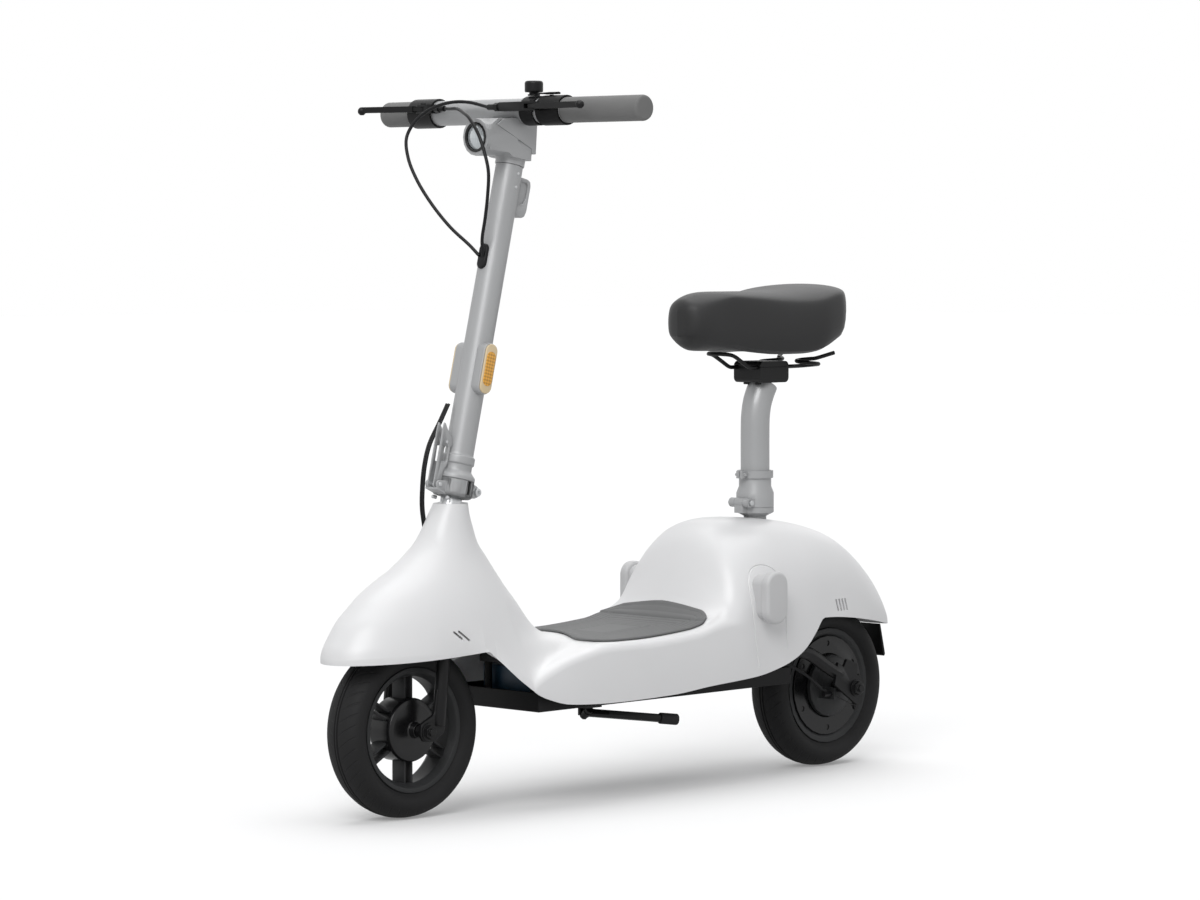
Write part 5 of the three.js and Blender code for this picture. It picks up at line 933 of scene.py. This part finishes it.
class BuildWheels(bpy.types.Operator):
    """Tyres, rims, hubs, axles and the drum's plates"""

    bl_idname = "scooter.wheels"
    bl_label = "Wheels"

    def execute(self, context):
        for end, y in (("front", FRONT_AXLE_Y), ("rear", REAR_AXLE_Y)):
            self.tyre(end, y)
        self.front_rim()
        for node, name, body, finish, broken, slot in (
            ("rear_rim", "rear_rim_finished", "rear_wheel", "dark wheel", 0.6, "wheel_dark"),
            ("rear_hub_cover", "cover_plate", "rear_wheel", "gloss black", 0.4, "hub_black"),
            ("brake_backplate", "drum_plate", "chassis", "dark wheel", 0.6, "silver_paint"),
            ("front_bearing_set", "front_bearings", "front_wheel", "bright metal", 0.3,
             "bright_steel"),
            ("front_axle", "front_spindle", "steering", "black paint", 0.5, "bright_steel"),
            ("rear_axle", "rear_spindle", "chassis", "black paint", 0.5, "bright_steel"),
        ):
            placed(name, recast(node), body, finish, [node], edge=broken)
        return {"FINISHED"}

    def place(self, y):
        return Matrix.Translation(Vector((0, y, AXLE_Z)) * MM) @ TO_X

    def tyre(self, end, y):
        wall = [(85.3, 17), (85.3, 22.0), (90.0, 22.6), (93.4, 27.6), (99, 32.2), (106, 33.3),
                (112.5, 32.0), (117.5, 28.6), (121.4, 23.4), (124.3, 16.4), (126.2, 8.4)]
        crown = [(126.6, 4.2), (124.9, 3.4), (124.9, 2.0), (126.9, 1.2)]
        outer = wall + crown
        inner = [(116, 0), (108, 25)]
        rows = (outer + [(r, -x) for r, x in reversed(outer)]
                + [(r, -x) for r, x in reversed(inner)] + inner + [outer[0]])
        placed(f"{end}_tyre_treaded", turned(rows, 144, self.place(y)), f"{end}_wheel",
               f"{end} tread", [f"{end}_tyre"], angle=50)

    def front_rim(self):
        place = self.place(FRONT_AXLE_Y)
        rim = [(76.5, -14), (76.5, 14), (83, 24.8), (89.6, 25.3), (89.6, 22.6), (84.8, 22.6),
               (81, 12), (81, -12), (84.8, -22.6), (89.6, -22.6), (89.6, -25.3), (83, -24.8)]
        form = turned(eased(rim, 1.2, closed=True) + [eased(rim, 1.2, closed=True)[0]], 120, place)
        for i in range(6):
            for side in (1, -1):
                turn = place @ Matrix.Rotation(math.radians(i * 60), 4, "Z")
                rows = rounded(18.4, 1.7, 0.6, (60, side * 6.5), steps=2)
                form = plated(rows, -13, 13, turn, edge=0.8, form=form)
        placed("front_rim_ribbed", form, "front_wheel", "dark wheel", ["front_rim"])
        hub = [(6.2, 20.3), (6.2, 35.7), (10.6, 35.7), (11, 26), (13, 24.6), (38, 23.2), (44, 22.2),
               (46, 18), (46, -18), (44, -22.2), (38, -23.2), (13, -24.6), (11, -26), (10.6, -35.7),
               (6.2, -35.7), (6.2, -20.3), (13, -20.3), (13, 20.3), (6.2, 20.3)]
        placed("front_hub", turned(eased(hub, 0.8), 96, place), "front_wheel", "gloss black")


class BuildColumn(bpy.types.Operator):
    """Fork, folding hinge, latch, stem, hook and reflectors"""

    bl_idname = "scooter.column"
    bl_label = "Folding column"

    def execute(self, context):
        self.fork()
        self.hinge()
        self.latch()
        self.stem()
        self.trim()
        for side, name in ((1, "left"), (-1, "right")):
            self.reflector(side, name)
        return {"FINISHED"}

    def fork(self):
        leg = rodded(9.5, (53, behind(36), 270), (53, behind(21), 134), 48, 2.0)
        plate = [(-15, 122), (-9, 113.5), (10, 112), (31, 124), (36, 189), (17, 189), (11.5, 151),
                 (-14, 139)]
        leg = plated(eased(plate, 6, 4, True), 50, 56, ROW_SIDE, 1.2, form=leg)
        form = mirrored_pair(leg)
        crown = rounded(62, 27, 9.5, (0, behind(47)))
        form = plated(crown, 266, 280, edge=3.0, segments=4, form=form)
        form = rodded(20.5, (0, 0, 148.4), (0, 0, 180.4), 64, 1.5, COLUMN, form)
        placed("fork_painted", form, "steering", "black paint", ["fork"])
        form = rodded(15.75, (0, 0, 182), (0, 0, 337), 64, 0.5, COLUMN)
        for lean in (-1, 1):
            form = rodded(2.7, (lean * 14, -23.5 + 7, 332.7), (lean * 15.6, -23.5, 332.7), 24, 0.6,
                          COLUMN, form)
        placed("steerer", form, "steering", "bright metal")

    def hinge(self):
        cup = [(0, 336.6), (22.4, 336.6), (26.4, 337.3), (28.4, 339), (29, 341.6), (29, 361.4),
               (28.4, 362), (0, 362)]
        form = turned(eased(cup, 0.8), 112, COLUMN)
        lug = [(18, 339), (27, 340.5), (33, 344), (34.5, 350), (32, 356), (25, 359.5), (18, 360)]
        form = plated(eased(lug, 3, 3, True), 9.6, 20.5, COLUMN_SIDE, 1.4, form=form)
        ear = [(-20, 340), (-37, 341.5), (-42.5, 343.8), (-44.6, 348.8), (-42.5, 353.4),
               (-37.5, 355.2), (-20, 356)]
        form = plated(eased(ear, 3, 4, True), 8.9, 12.4, COLUMN_SIDE, 0.8, form=form)
        form = mirrored_pair(form)
        foot = [(-42.5, 340.6), (-24, 336.8), (-20, 337), (-20, 343.6), (-42.5, 343.4)]
        form = plated(foot, -12.4, 12.4, COLUMN_SIDE, 1.0, form=form)
        placed("hinge_base", form, "steering", "silver paint", ["stem_hinge_base"])
        form = rodded(4.3, (-21, 28, 350), (21, 28, 350), 40, 0.4, COLUMN)
        form = rodded(5.9, (20.2, 28, 350), (24.6, 28, 350), 40, 0.9, COLUMN, form)
        form = rodded(5.9, (-24.6, 28, 350), (-20.2, 28, 350), 40, 0.9, COLUMN, form)
        pin = placed("hinge_pin", form, "steering", "bright metal", ["stem_hinge_pin"])
        sockets = [rodded(2.9, (side * 22.4, 28, 350), (side * 26, 28, 350), 6, 0.1, COLUMN)
                   for side in (1, -1)]
        cut(pin, sockets)
        form = rodded(3.1, (-14.4, -38, 348.6), (14.4, -38, 348.6), 32, 0.9, COLUMN)
        placed("latch_pin", form, "steering", "bright metal")

    def latch(self):
        side = [(-45.4, 344.4), (-45.6, 430), (-44.6, 437.6), (-42, 437), (-37.4, 431),
                (-25.4, 418.4), (-22.9, 413.5), (-22.9, 408.5), (-25.4, 404.4), (-25.2, 384),
                (-26.6, 378.5), (-30.6, 371.6), (-31.4, 364), (-31.6, 346), (-33.5, 343.4),
                (-42.5, 343.2)]
        form = plated(eased(side, 3, 4, True), 4.9, 7.0, COLUMN_SIDE, 0.5)
        form = mirrored_pair(form)
        face = [(-7, 343.6), (7, 343.6)]
        face += [(7 * math.cos(a), 431.4 + 7 * math.sin(a))
                 for a in (math.pi * k / 16 for k in range(17))]
        form = plated(face, 43.2, 45.6, COLUMN_FACE, 0.6, form=form)
        form = rodded(5.2, (-24, -38.5, 392), (-6, -38.5, 392), 48, 1.6, COLUMN, form)
        latch = placed("latch", form, "latch", "silver paint", ["latch_lever"])
        window = [(-40.2, 404.8), (-29.2, 405.4), (-28.2, 384), (-39.4, 381.6)]
        slot = rounded(2.6, 7.6, 2.5, (-0.6, 387.5), 6)
        cut(latch, [plated(eased(window, 1.6, 4, True), 0, 9, COLUMN_SIDE, 0),
                    plated(eased(window, 1.6, 4, True), -9, 0, COLUMN_SIDE, 0),
                    plated(slot, 40, 50, COLUMN_FACE, 0),
                    rodded(1.7, (0, -50, 433.4), (0, -40, 433.4), 20, 0.1, COLUMN)])
        form = rodded(2.5, (-7.9, -34, 411), (7.9, -34, 411), 28, 0.6, COLUMN)
        placed("latch_rivet", form, "latch", "bright metal")

    def stem(self):
        rows = [(0, 362.4), (28.5, 362.4), (29, 363), (29, 366.8), (28, 368.8), (22.8, 374.4),
                (21.9, 376.4), (21.9, 384), (23.4, 385), (24.2, 386.4), (24.2, 395.2), (23.5, 396.6),
                (21.5, 398), (21, 400.5), (20, 827.2), (19.4, 827.7), (0, 827.7)]
        form = turned(eased(rows, 0.9), 112, COLUMN)
        form = rodded(8.9, (-9.2, 28, 350), (9.2, 28, 350), 48, 0.8, COLUMN, form)
        web = [(20, 362.4), (36.5, 352.5), (34, 358.5), (24, 369), (20, 371)]
        form = plated(web, -9.2, 9.2, COLUMN_SIDE, 1.0, form=form)
        pod = plated(rounded(12.4, 37.6, 12.0, (-2, 526), 12), 14, 30.9, COLUMN_SIDE, 1.6, 4)
        form = united(form, mirrored_pair(pod))
        placed("stem", form, "stem", "silver paint", ["stem_tube"])
        dome = [(0, 0.9), (1.3, 0.75), (2.2, 0.3), (2.5, -0.4), (0, -0.4)]
        form = None
        for along in (796, 816):
            spot = COLUMN @ Matrix.Translation(Vector((20.05, 1.6, along)) * MM) @ TO_X
            form = turned([(r, h) for r, h in dome], 32, spot, form)
        placed("stem_screws", mirrored_pair(form), "stem", "bright metal")

    def trim(self):
        lug = [(18.8, 815.4), (34, 815.4), (39.4, 813), (41.5, 806.5), (41.5, 769), (38.8, 760.5),
               (33.4, 757.6), (18.8, 757.6)]
        hook = placed("hook", plated(eased(lug, 4, 4, True), -8.4, 8.4, COLUMN_SIDE, 1.6, 4),
                      "stem", "silver paint", ["bag_hook"])
        recess = [(21, 809.5), (32.5, 809.5), (35.4, 805), (35.4, 786), (30, 777), (21, 777)]
        cut(hook, [plated(eased(recess, 3, 4, True), low, low + 4, COLUMN_SIDE, 0)
                   for low in (6.2, -10.2)])
        form = plated(rounded(8.2, 18.6, 8.0, (0, 688), 12), 17, 23.9, COLUMN_FACE, 2.4, 5)
        placed("grommet", form, "stem", "cable sleeve", ["cable_grommet"])

    def reflector(self, side, name):
        def plate(half, high, low, top, edge, rise=526):
            form = plated(rounded(half, high, half * 0.96, (-2, rise), 12), low, top, COLUMN_SIDE,
                          edge, 4)
            if side < 0:
                bmesh.ops.scale(form, vec=(-1, 1, 1), verts=form.verts)
                bmesh.ops.reverse_faces(form, faces=form.faces)
            return form

        placed(f"reflector_{name}", plate(11.0, 36.2, 31.0, 34.2, 1.3), "stem", "amber cap",
               [f"reflector_lens_{name}"])
        placed(f"reflector_core_{name}", plate(8.6, 25, 34.0, 35.1, 0.5), "stem", "amber lens")


class BuildHead(bpy.types.Operator):
    """Head casting, display, headlight, bar and controls"""

    bl_idname = "scooter.head"
    bl_label = "Head and controls"

    def execute(self, context):
        edge = context.scene.scooter_sizes.edge / MM
        for node, name, body, finish, broken, slot in (
            ("head_casting", "head", "stem", "silver paint", 1.2, "silver_paint"),
            ("display_pod", "display", "stem", "silver paint", 1.6, "silver_paint"),
            ("brake_perch_left", "perch_left", "stem", "black paint", edge, "control_black"),
            ("brake_perch_right", "perch_right", "stem", "black paint", edge, "control_black"),
            ("brake_lever_left", "lever_left_blade", "lever_left", "black paint", 1.2,
             "control_black"),
            ("brake_lever_right", "lever_right_blade", "lever_right", "black paint", 1.2,
             "control_black"),
            ("bell_striker", "striker_arm", "striker", "black paint", 0.4, "control_black"),
            ("switch_pod", "switch_housing", "stem", "black moulding", edge, "control_black"),
            ("switch_lever", "switch_rocker", "rocker", "black moulding", edge, "control_black"),
        ):
            placed(name, recast(node), body, finish, [node], edge=broken)
        self.bar()
        self.lamp()
        self.bell()
        return {"FINISHED"}

    def bar(self):
        tube = [(8.5, -262.5), (11, -262.5), (11, -204.8), (18.4, -204.8), (18.4, 113.4),
                (11, 113.4), (11, 262.5), (8.5, 262.5), (8.5, -262.5)]
        placed("bar", turned(eased(tube, 0.6), 96, bar_place()), "stem", "silver paint",
               ["handlebar"])
        for side, name, body, start in ((1, "left", "stem", 114.0), (-1, "right", "throttle", 205.2)):
            rows = [(0, 262.8), (11.3, 262.8), (11.3, start), (18.6, start), (18.6, 266),
                    (17.6, 268.8), (15.4, 270), (0, 270)]
            rows = [(r, side * x) for r, x in eased(rows, 1.0)]
            placed(f"grip_{name}", turned(rows, 96, bar_place()), body, "grip rubber",
                   [f"{name}_grip"])

    def lamp(self):
        place = Matrix.Translation(Vector((0, 0, 972)) * MM) @ TO_Y
        front = behind(145)
        rows = [(21.5, front - 1.5), (18.2, front - 1.5), (18.2, front + 13), (21.5, front + 13),
                (21.5, front - 1.5)]
        placed("lamp_ring", turned(eased(rows, 0.7), 96, place), "stem", "gloss black",
               ["headlight_ring"])
        rows = [(0, front - 3)]
        rows += [(17.6 * math.sin(a), front - 3 + 4.5 * (1 - math.cos(a)) / (1 - math.cos(1.1)))
                 for a in (0.2, 0.4, 0.6, 0.8, 0.95)]
        rows += [(17.6, front + 1.5), (17.6, front + 9), (0, front + 9)]
        placed("lamp_lens", turned(rows, 96, place), "stem", "clear lens", ["headlight_lens"])

    def bell(self):
        place = Matrix.Translation(Vector((44, -215.7, 0)) * MM)
        rows = [(0, 1031.9), (9, 1031.9), (9, 1034.2), (4, 1034.2), (4, 1037), (12.9, 1037),
                (13.4, 1039), (13.4, 1050.6), (12.1, 1052.8), (10, 1053.6), (0, 1053.6)]
        placed("bell", turned(eased(rows, 0.8), 72, place), "stem", "black paint", ["bell_body"])


class BuildCables(bpy.types.Operator):
    """Brake cables held from the levers to the stem, and the harness"""

    bl_idname = "scooter.cables"
    bl_label = "Held cables"

    left = [(-27, 187, 1018), (-54, 185, 1023.6), (-80, 180, 1025), (-103.6, 172, 1021),
            (-125.4, 163, 1011), (-140.7, 153, 994.8), (-146.8, 144, 973.5), (-135.2, 136, 945),
            (-113.8, 133, 912.8), (-84.6, 135, 877.5), (-49.7, 141, 842.3), (-18.2, 150, 816)]
    right = [(-101, 184, 1015.5), (-86, 177, 1015), (-60, 165, 1014), (-31, 150, 1007.5),
             (-7, 139.5, 998.5), (17, 135, 974.6), (30, 134, 949.8), (38.4, 134, 921.8),
             (35.6, 135, 887), (26.3, 139, 855.8), (10.2, 148, 824.4)]
    harness = [(-15.5, 104, 588), (-18.5, 92, 564), (-20.5, 72, 530), (-20, 62, 500),
               (-20, 58, 470), (-23, 60, 440), (-26, 68, 408)]

    def execute(self, context):
        for name, side, inner, rows, end in (("left", 1, -17.0, self.left, -4.0),
                                             ("right", -1, 111.0, self.right, 4.0)):
            start = (side * inner - side * 0.6, behind(186.5), 1016)
            mouth = COLUMN @ (Vector((end, -25.0, 688)) * MM) / MM
            points = [start, *[(x, behind(back), z) for x, back, z in rows], tuple(mouth)]
            placed(f"sleeve_{name}", swept(points, 2.5, 140), "stem", "cable sleeve",
                   [f"cable_{name}"])
        points = [(x, behind(back), z) for x, back, z in self.harness]
        form = swept([(x - 1.9, y, z) for x, y, z in points], 2.1, 60)
        form = swept([(x + 2.0, y + 0.6, z) for x, y, z in points], 2.0, 60, form=form)
        placed("harness_leads", form, "stem", "cable sleeve", ["harness"])
        return {"FINISHED"}


class BuildSeat(bpy.types.Operator):
    """Seat hinge, socket, collar, post, clamp and saddle wire"""

    bl_idname = "scooter.seat"
    bl_label = "Seat post"

    def execute(self, context):
        edge = context.scene.scooter_sizes.edge / MM
        for node, name, body, finish, broken, slot in (
            ("seat_hinge_base", "seat_base", "chassis", "silver paint", edge, "silver_paint"),
            ("seat_hinge_pin", "seat_pin", "chassis", "bright metal", 0.4, "bright_steel"),
            ("seat_hinge_socket", "seat_socket", "seat", "silver paint", edge, "silver_paint"),
            ("seat_collar", "collar", "seat", "silver paint", edge, "silver_paint"),
            ("saddle_clamp", "clamp", "seat", "black paint", edge, "frame_black"),
        ):
            placed(name, recast(node), body, finish, [node], edge=broken)
        route = [(734.5, 425), (734.5, 465), (734.5, 541), (735.6, 556), (738.8, 572), (745, 587),
                 (752.7, 601)]
        post = swept([(0, behind(back), z) for back, z in route], 22.3, 60, 14)
        placed("post", post, "seat", "post alloy", ["seat_post"])
        placed("saddle_wire", self.wire(), "seat", "black paint", ["saddle_rails"])
        return {"FINISHED"}

    def wire(self):
        def half(side):
            rows = [(14, 645, 649.5), (20.5, 662, 647), (21, 682, 637), (21, 700, 628),
                    (21, 716, 628), (21, 780, 628), (21, 795, 628)]
            points = [(side * x, behind(back), z) for x, back, z in rows]
            for i in range(1, 21):
                angle = math.pi - i / 16 * math.tau
                points.append((side * (38 + 17 * math.cos(angle)),
                               behind(812) + 17 * math.sin(angle), 628 + i / 16 * 9.5))
            return points + [(side * 54, behind(856), 648.6)]

        points = [*reversed(half(-1)), (0, behind(640), 649.5), *half(1)]
        return swept(points, 3.1, 320, 4)


class BuildSaddle(bpy.types.Operator):
    """Padded saddle with its crowned cover and drawn-in sides"""

    bl_idname = "scooter.saddle"
    bl_label = "Saddle"

    front, length, half = 562.0, 310.0, 112.0
    wide_of = staticmethod(smooth_rows([
        (0, 0), (0.006, 0.12), (0.013, 0.18), (0.044, 0.295), (0.108, 0.377), (0.215, 0.434),
        (0.342, 0.541), (0.468, 0.705), (0.595, 0.893), (0.722, 1), (0.816, 0.984), (0.899, 0.836),
        (0.956, 0.623), (0.987, 0.377), (0.996, 0.2), (1, 0),
    ]))
    hem_of = staticmethod(smooth_rows([
        (0, 679), (0.06, 679), (0.1, 674), (0.15, 668), (0.2, 663), (0.25, 658.5), (0.3, 655),
        (0.4, 649), (0.5, 646), (0.6, 646), (0.7, 651), (0.76, 659), (0.82, 669), (0.9, 676),
        (1, 680),
    ]))
    crease_of = staticmethod(smooth_rows([
        (0, 708), (0.06, 711), (0.1, 716), (0.15, 723), (0.2, 730), (0.25, 735), (0.3, 733),
        (0.4, 729.5), (0.5, 725), (0.57, 723.6), (0.65, 725), (0.72, 730), (0.8, 737), (0.9, 741),
        (1, 741),
    ]))
    crown_of = staticmethod(smooth_rows([
        (0, 716), (0.01, 725), (0.03, 733), (0.06, 737), (0.1, 741), (0.15, 744), (0.2, 745),
        (0.5, 745), (0.6, 746), (0.7, 749), (0.8, 753), (0.9, 755.5), (0.97, 753), (1, 746),
    ]))
    belly_of = staticmethod(smooth_rows([
        (0, 678), (0.02, 672), (0.05, 660), (0.1, 654.5), (0.2, 654), (0.3, 655.5), (0.5, 652),
        (0.7, 655), (0.9, 662), (1, 679),
    ]))

    def execute(self, context):
        form = bmesh.new()
        rings = []
        for i in range(97):
            share = (1 - math.cos(math.pi * min(max(i / 96, 0.006), 0.994))) / 2
            rings.append([form.verts.new(Vector(spot) * MM) for spot in self.section(share)])
        for a, b in zip(rings, rings[1:]):
            for k in range(len(a)):
                n = (k + 1) % len(a)
                form.faces.new((a[k], a[n], b[n], b[k]))
        form.faces.new(rings[0])
        form.faces.new(rings[-1])
        saddle = placed("padded_saddle", merged(form), "seat", "saddle cover", ["saddle_cushion"],
                        angle=70)
        ease = saddle.modifiers.new("ease", "SMOOTH")
        ease.factor = 0.5
        ease.iterations = 14
        applied(saddle)
        return {"FINISHED"}

    def section(self, share):
        wide = self.wide_of(share) * self.half
        y = behind(self.front + self.length * share)
        hem, crease = self.hem_of(share), self.crease_of(share)
        crown, belly = self.crown_of(share), self.belly_of(share)
        right = []
        for k in range(13):
            lean = k / 12 * math.pi / 2
            right.append((0.955 * wide * math.sin(lean),
                          crease + (crown - crease) * math.cos(lean) ** 0.85))
        drop = crease - hem
        right += [(0.978 * wide, crease - drop * 0.05), (0.995 * wide, crease - drop * 0.16),
                  (wide, crease - drop * 0.36), (0.995 * wide, crease - drop * 0.62),
                  (0.975 * wide, crease - drop * 0.86), (0.94 * wide, hem)]
        right += [(wide * (0.94 - 0.94 * k / 8), hem + (belly - hem) * math.sin(k / 8 * math.pi / 2))
                  for k in range(1, 9)]
        left = [(-x, z) for x, z in reversed(right[1:-1])]
        return [(x, y, z) for x, z in right + left]


class BuildStage(bpy.types.Operator):
    """Camera, floor and soft studio light"""

    bl_idname = "scooter.stage"
    bl_label = "Stage"

    def execute(self, context):
        scene = context.scene
        scene.view_settings.view_transform = "Standard"
        self.camera(scene)
        self.floor(scene)
        self.world(scene)
        for name, spot, spread, power in (
            ("key", (1.9, -2.9, 2.8), 34, 1.45), ("top", (-0.2, 0.5, 3.0), 56, 1.35),
            ("rim", (-2.0, 3.0, 2.4), 40, 0.2),
        ):
            self.lamp(scene, name, spot, spread, power)
        return {"FINISHED"}

    def camera(self, scene):
        lens = bpy.data.cameras.new("camera")
        camera = bpy.data.objects.new("camera", lens)
        scene.collection.objects.link(camera)
        camera.location = Vector((4557.4, -4558.5, 833.6)) * MM
        target = Vector((0, -37.54, 511.52)) * MM
        camera.rotation_mode = "QUATERNION"
        camera.rotation_quaternion = (target - camera.location).to_track_quat("-Z", "Y")
        lens.sensor_width = 36.0
        lens.lens = 4321.12 / 1200 * 36.0
        lens.clip_end = 100.0
        scene.camera = camera

    def floor(self, scene):
        form = bmesh.new()
        bmesh.ops.create_grid(form, x_segments=2, y_segments=2, size=30)
        mesh = bpy.data.meshes.new("floor")
        form.to_mesh(mesh)
        form.free()
        floor = bpy.data.objects.new("floor", mesh)
        scene.collection.objects.link(floor)
        finish = Finish("floor", (0.97, 0.97, 0.97), 0.95)
        finish.set("Specular IOR Level", 0.0)
        white = finish.node("ShaderNodeEmission", {"Color": (1, 1, 1, 1), "Strength": 1.0})
        path = finish.node("ShaderNodeLightPath", output=0)
        gloss = finish.node("ShaderNodeLightPath", output=3)
        seen = path.maths("MAXIMUM", gloss)
        finish.set("Base Color", path * 0.42 + 0.55)
        mixed = finish.node("ShaderNodeMixShader", {0: seen * 0.22})
        node = mixed.socket.node
        finish.tree.links.new(finish.shader.outputs[0], node.inputs[1])
        finish.tree.links.new(white.socket, node.inputs[2])
        out = finish.tree.nodes["Material Output"]
        finish.tree.links.new(mixed.socket, out.inputs["Surface"])
        mesh.materials.append(finish.material)

    def world(self, scene):
        world = bpy.data.worlds.new("studio")
        world.use_nodes = True
        scene.world = world
        tree = world.node_tree
        soft = tree.nodes["Background"]
        soft.inputs["Color"].default_value = (0.97, 0.98, 1.0, 1)
        soft.inputs["Strength"].default_value = 0.34
        white = tree.nodes.new("ShaderNodeBackground")
        white.inputs["Color"].default_value = (1, 1, 1, 1)
        path = tree.nodes.new("ShaderNodeLightPath")
        seen = Field(tree, path.outputs["Is Camera Ray"]).maths(
            "MAXIMUM", Field(tree, path.outputs["Is Glossy Ray"]) * 0.8)
        seen = seen.maths("MAXIMUM", Field(tree, path.outputs["Is Transmission Ray"]))
        mixed = tree.nodes.new("ShaderNodeMixShader")
        plug(tree, mixed.inputs[0], seen)
        tree.links.new(soft.outputs[0], mixed.inputs[1])
        tree.links.new(white.outputs[0], mixed.inputs[2])
        tree.links.new(mixed.outputs[0], tree.nodes["World Output"].inputs["Surface"])

    def lamp(self, scene, name, spot, spread, power):
        light = bpy.data.lights.new(name, "SUN")
        light.angle = math.radians(spread)
        light.energy = power
        lamp = bpy.data.objects.new(name, light)
        lamp.location = spot
        lamp.rotation_mode = "QUATERNION"
        lamp.rotation_quaternion = (-Vector(spot)).to_track_quat("-Z", "Y")
        scene.collection.objects.link(lamp)


class ScooterPanel(bpy.types.Panel):
    """Lists the scooter's build steps"""

    bl_idname = "VIEW3D_PT_scooter"
    bl_label = "Seated Scooter"
    bl_space_type = "VIEW_3D"
    bl_region_type = "UI"
    bl_category = "Scooter"

    def draw(self, context):
        for operator in BUILDERS:
            self.layout.operator(operator.bl_idname)
        for settings in (context.scene.scooter_colours, context.scene.scooter_sizes):
            for key in settings.__annotations__:
                self.layout.prop(settings, key)


BUILDERS = (BuildStage, BuildBody, BuildDeck, BuildChassis, BuildWheels, BuildColumn, BuildHead,
            BuildCables, BuildSeat, BuildSaddle)
CLASSES = (ColourSettings, SizeSettings, *BUILDERS, ScooterPanel)


def register():
    for item in CLASSES:
        bpy.utils.register_class(item)
    bpy.types.Scene.scooter_colours = bpy.props.PointerProperty(type=ColourSettings)
    bpy.types.Scene.scooter_sizes = bpy.props.PointerProperty(type=SizeSettings)


def unregister():
    del bpy.types.Scene.scooter_sizes
    del bpy.types.Scene.scooter_colours
    for item in reversed(CLASSES):
        bpy.utils.unregister_class(item)


def main():
    register()
    for builder in BUILDERS:
        group, name = builder.bl_idname.split(".")
        if getattr(getattr(bpy.ops, group), name)() != {"FINISHED"}:
            raise RuntimeError(f"{builder.bl_label} was not finished")


if __name__ == "__main__":
    main()
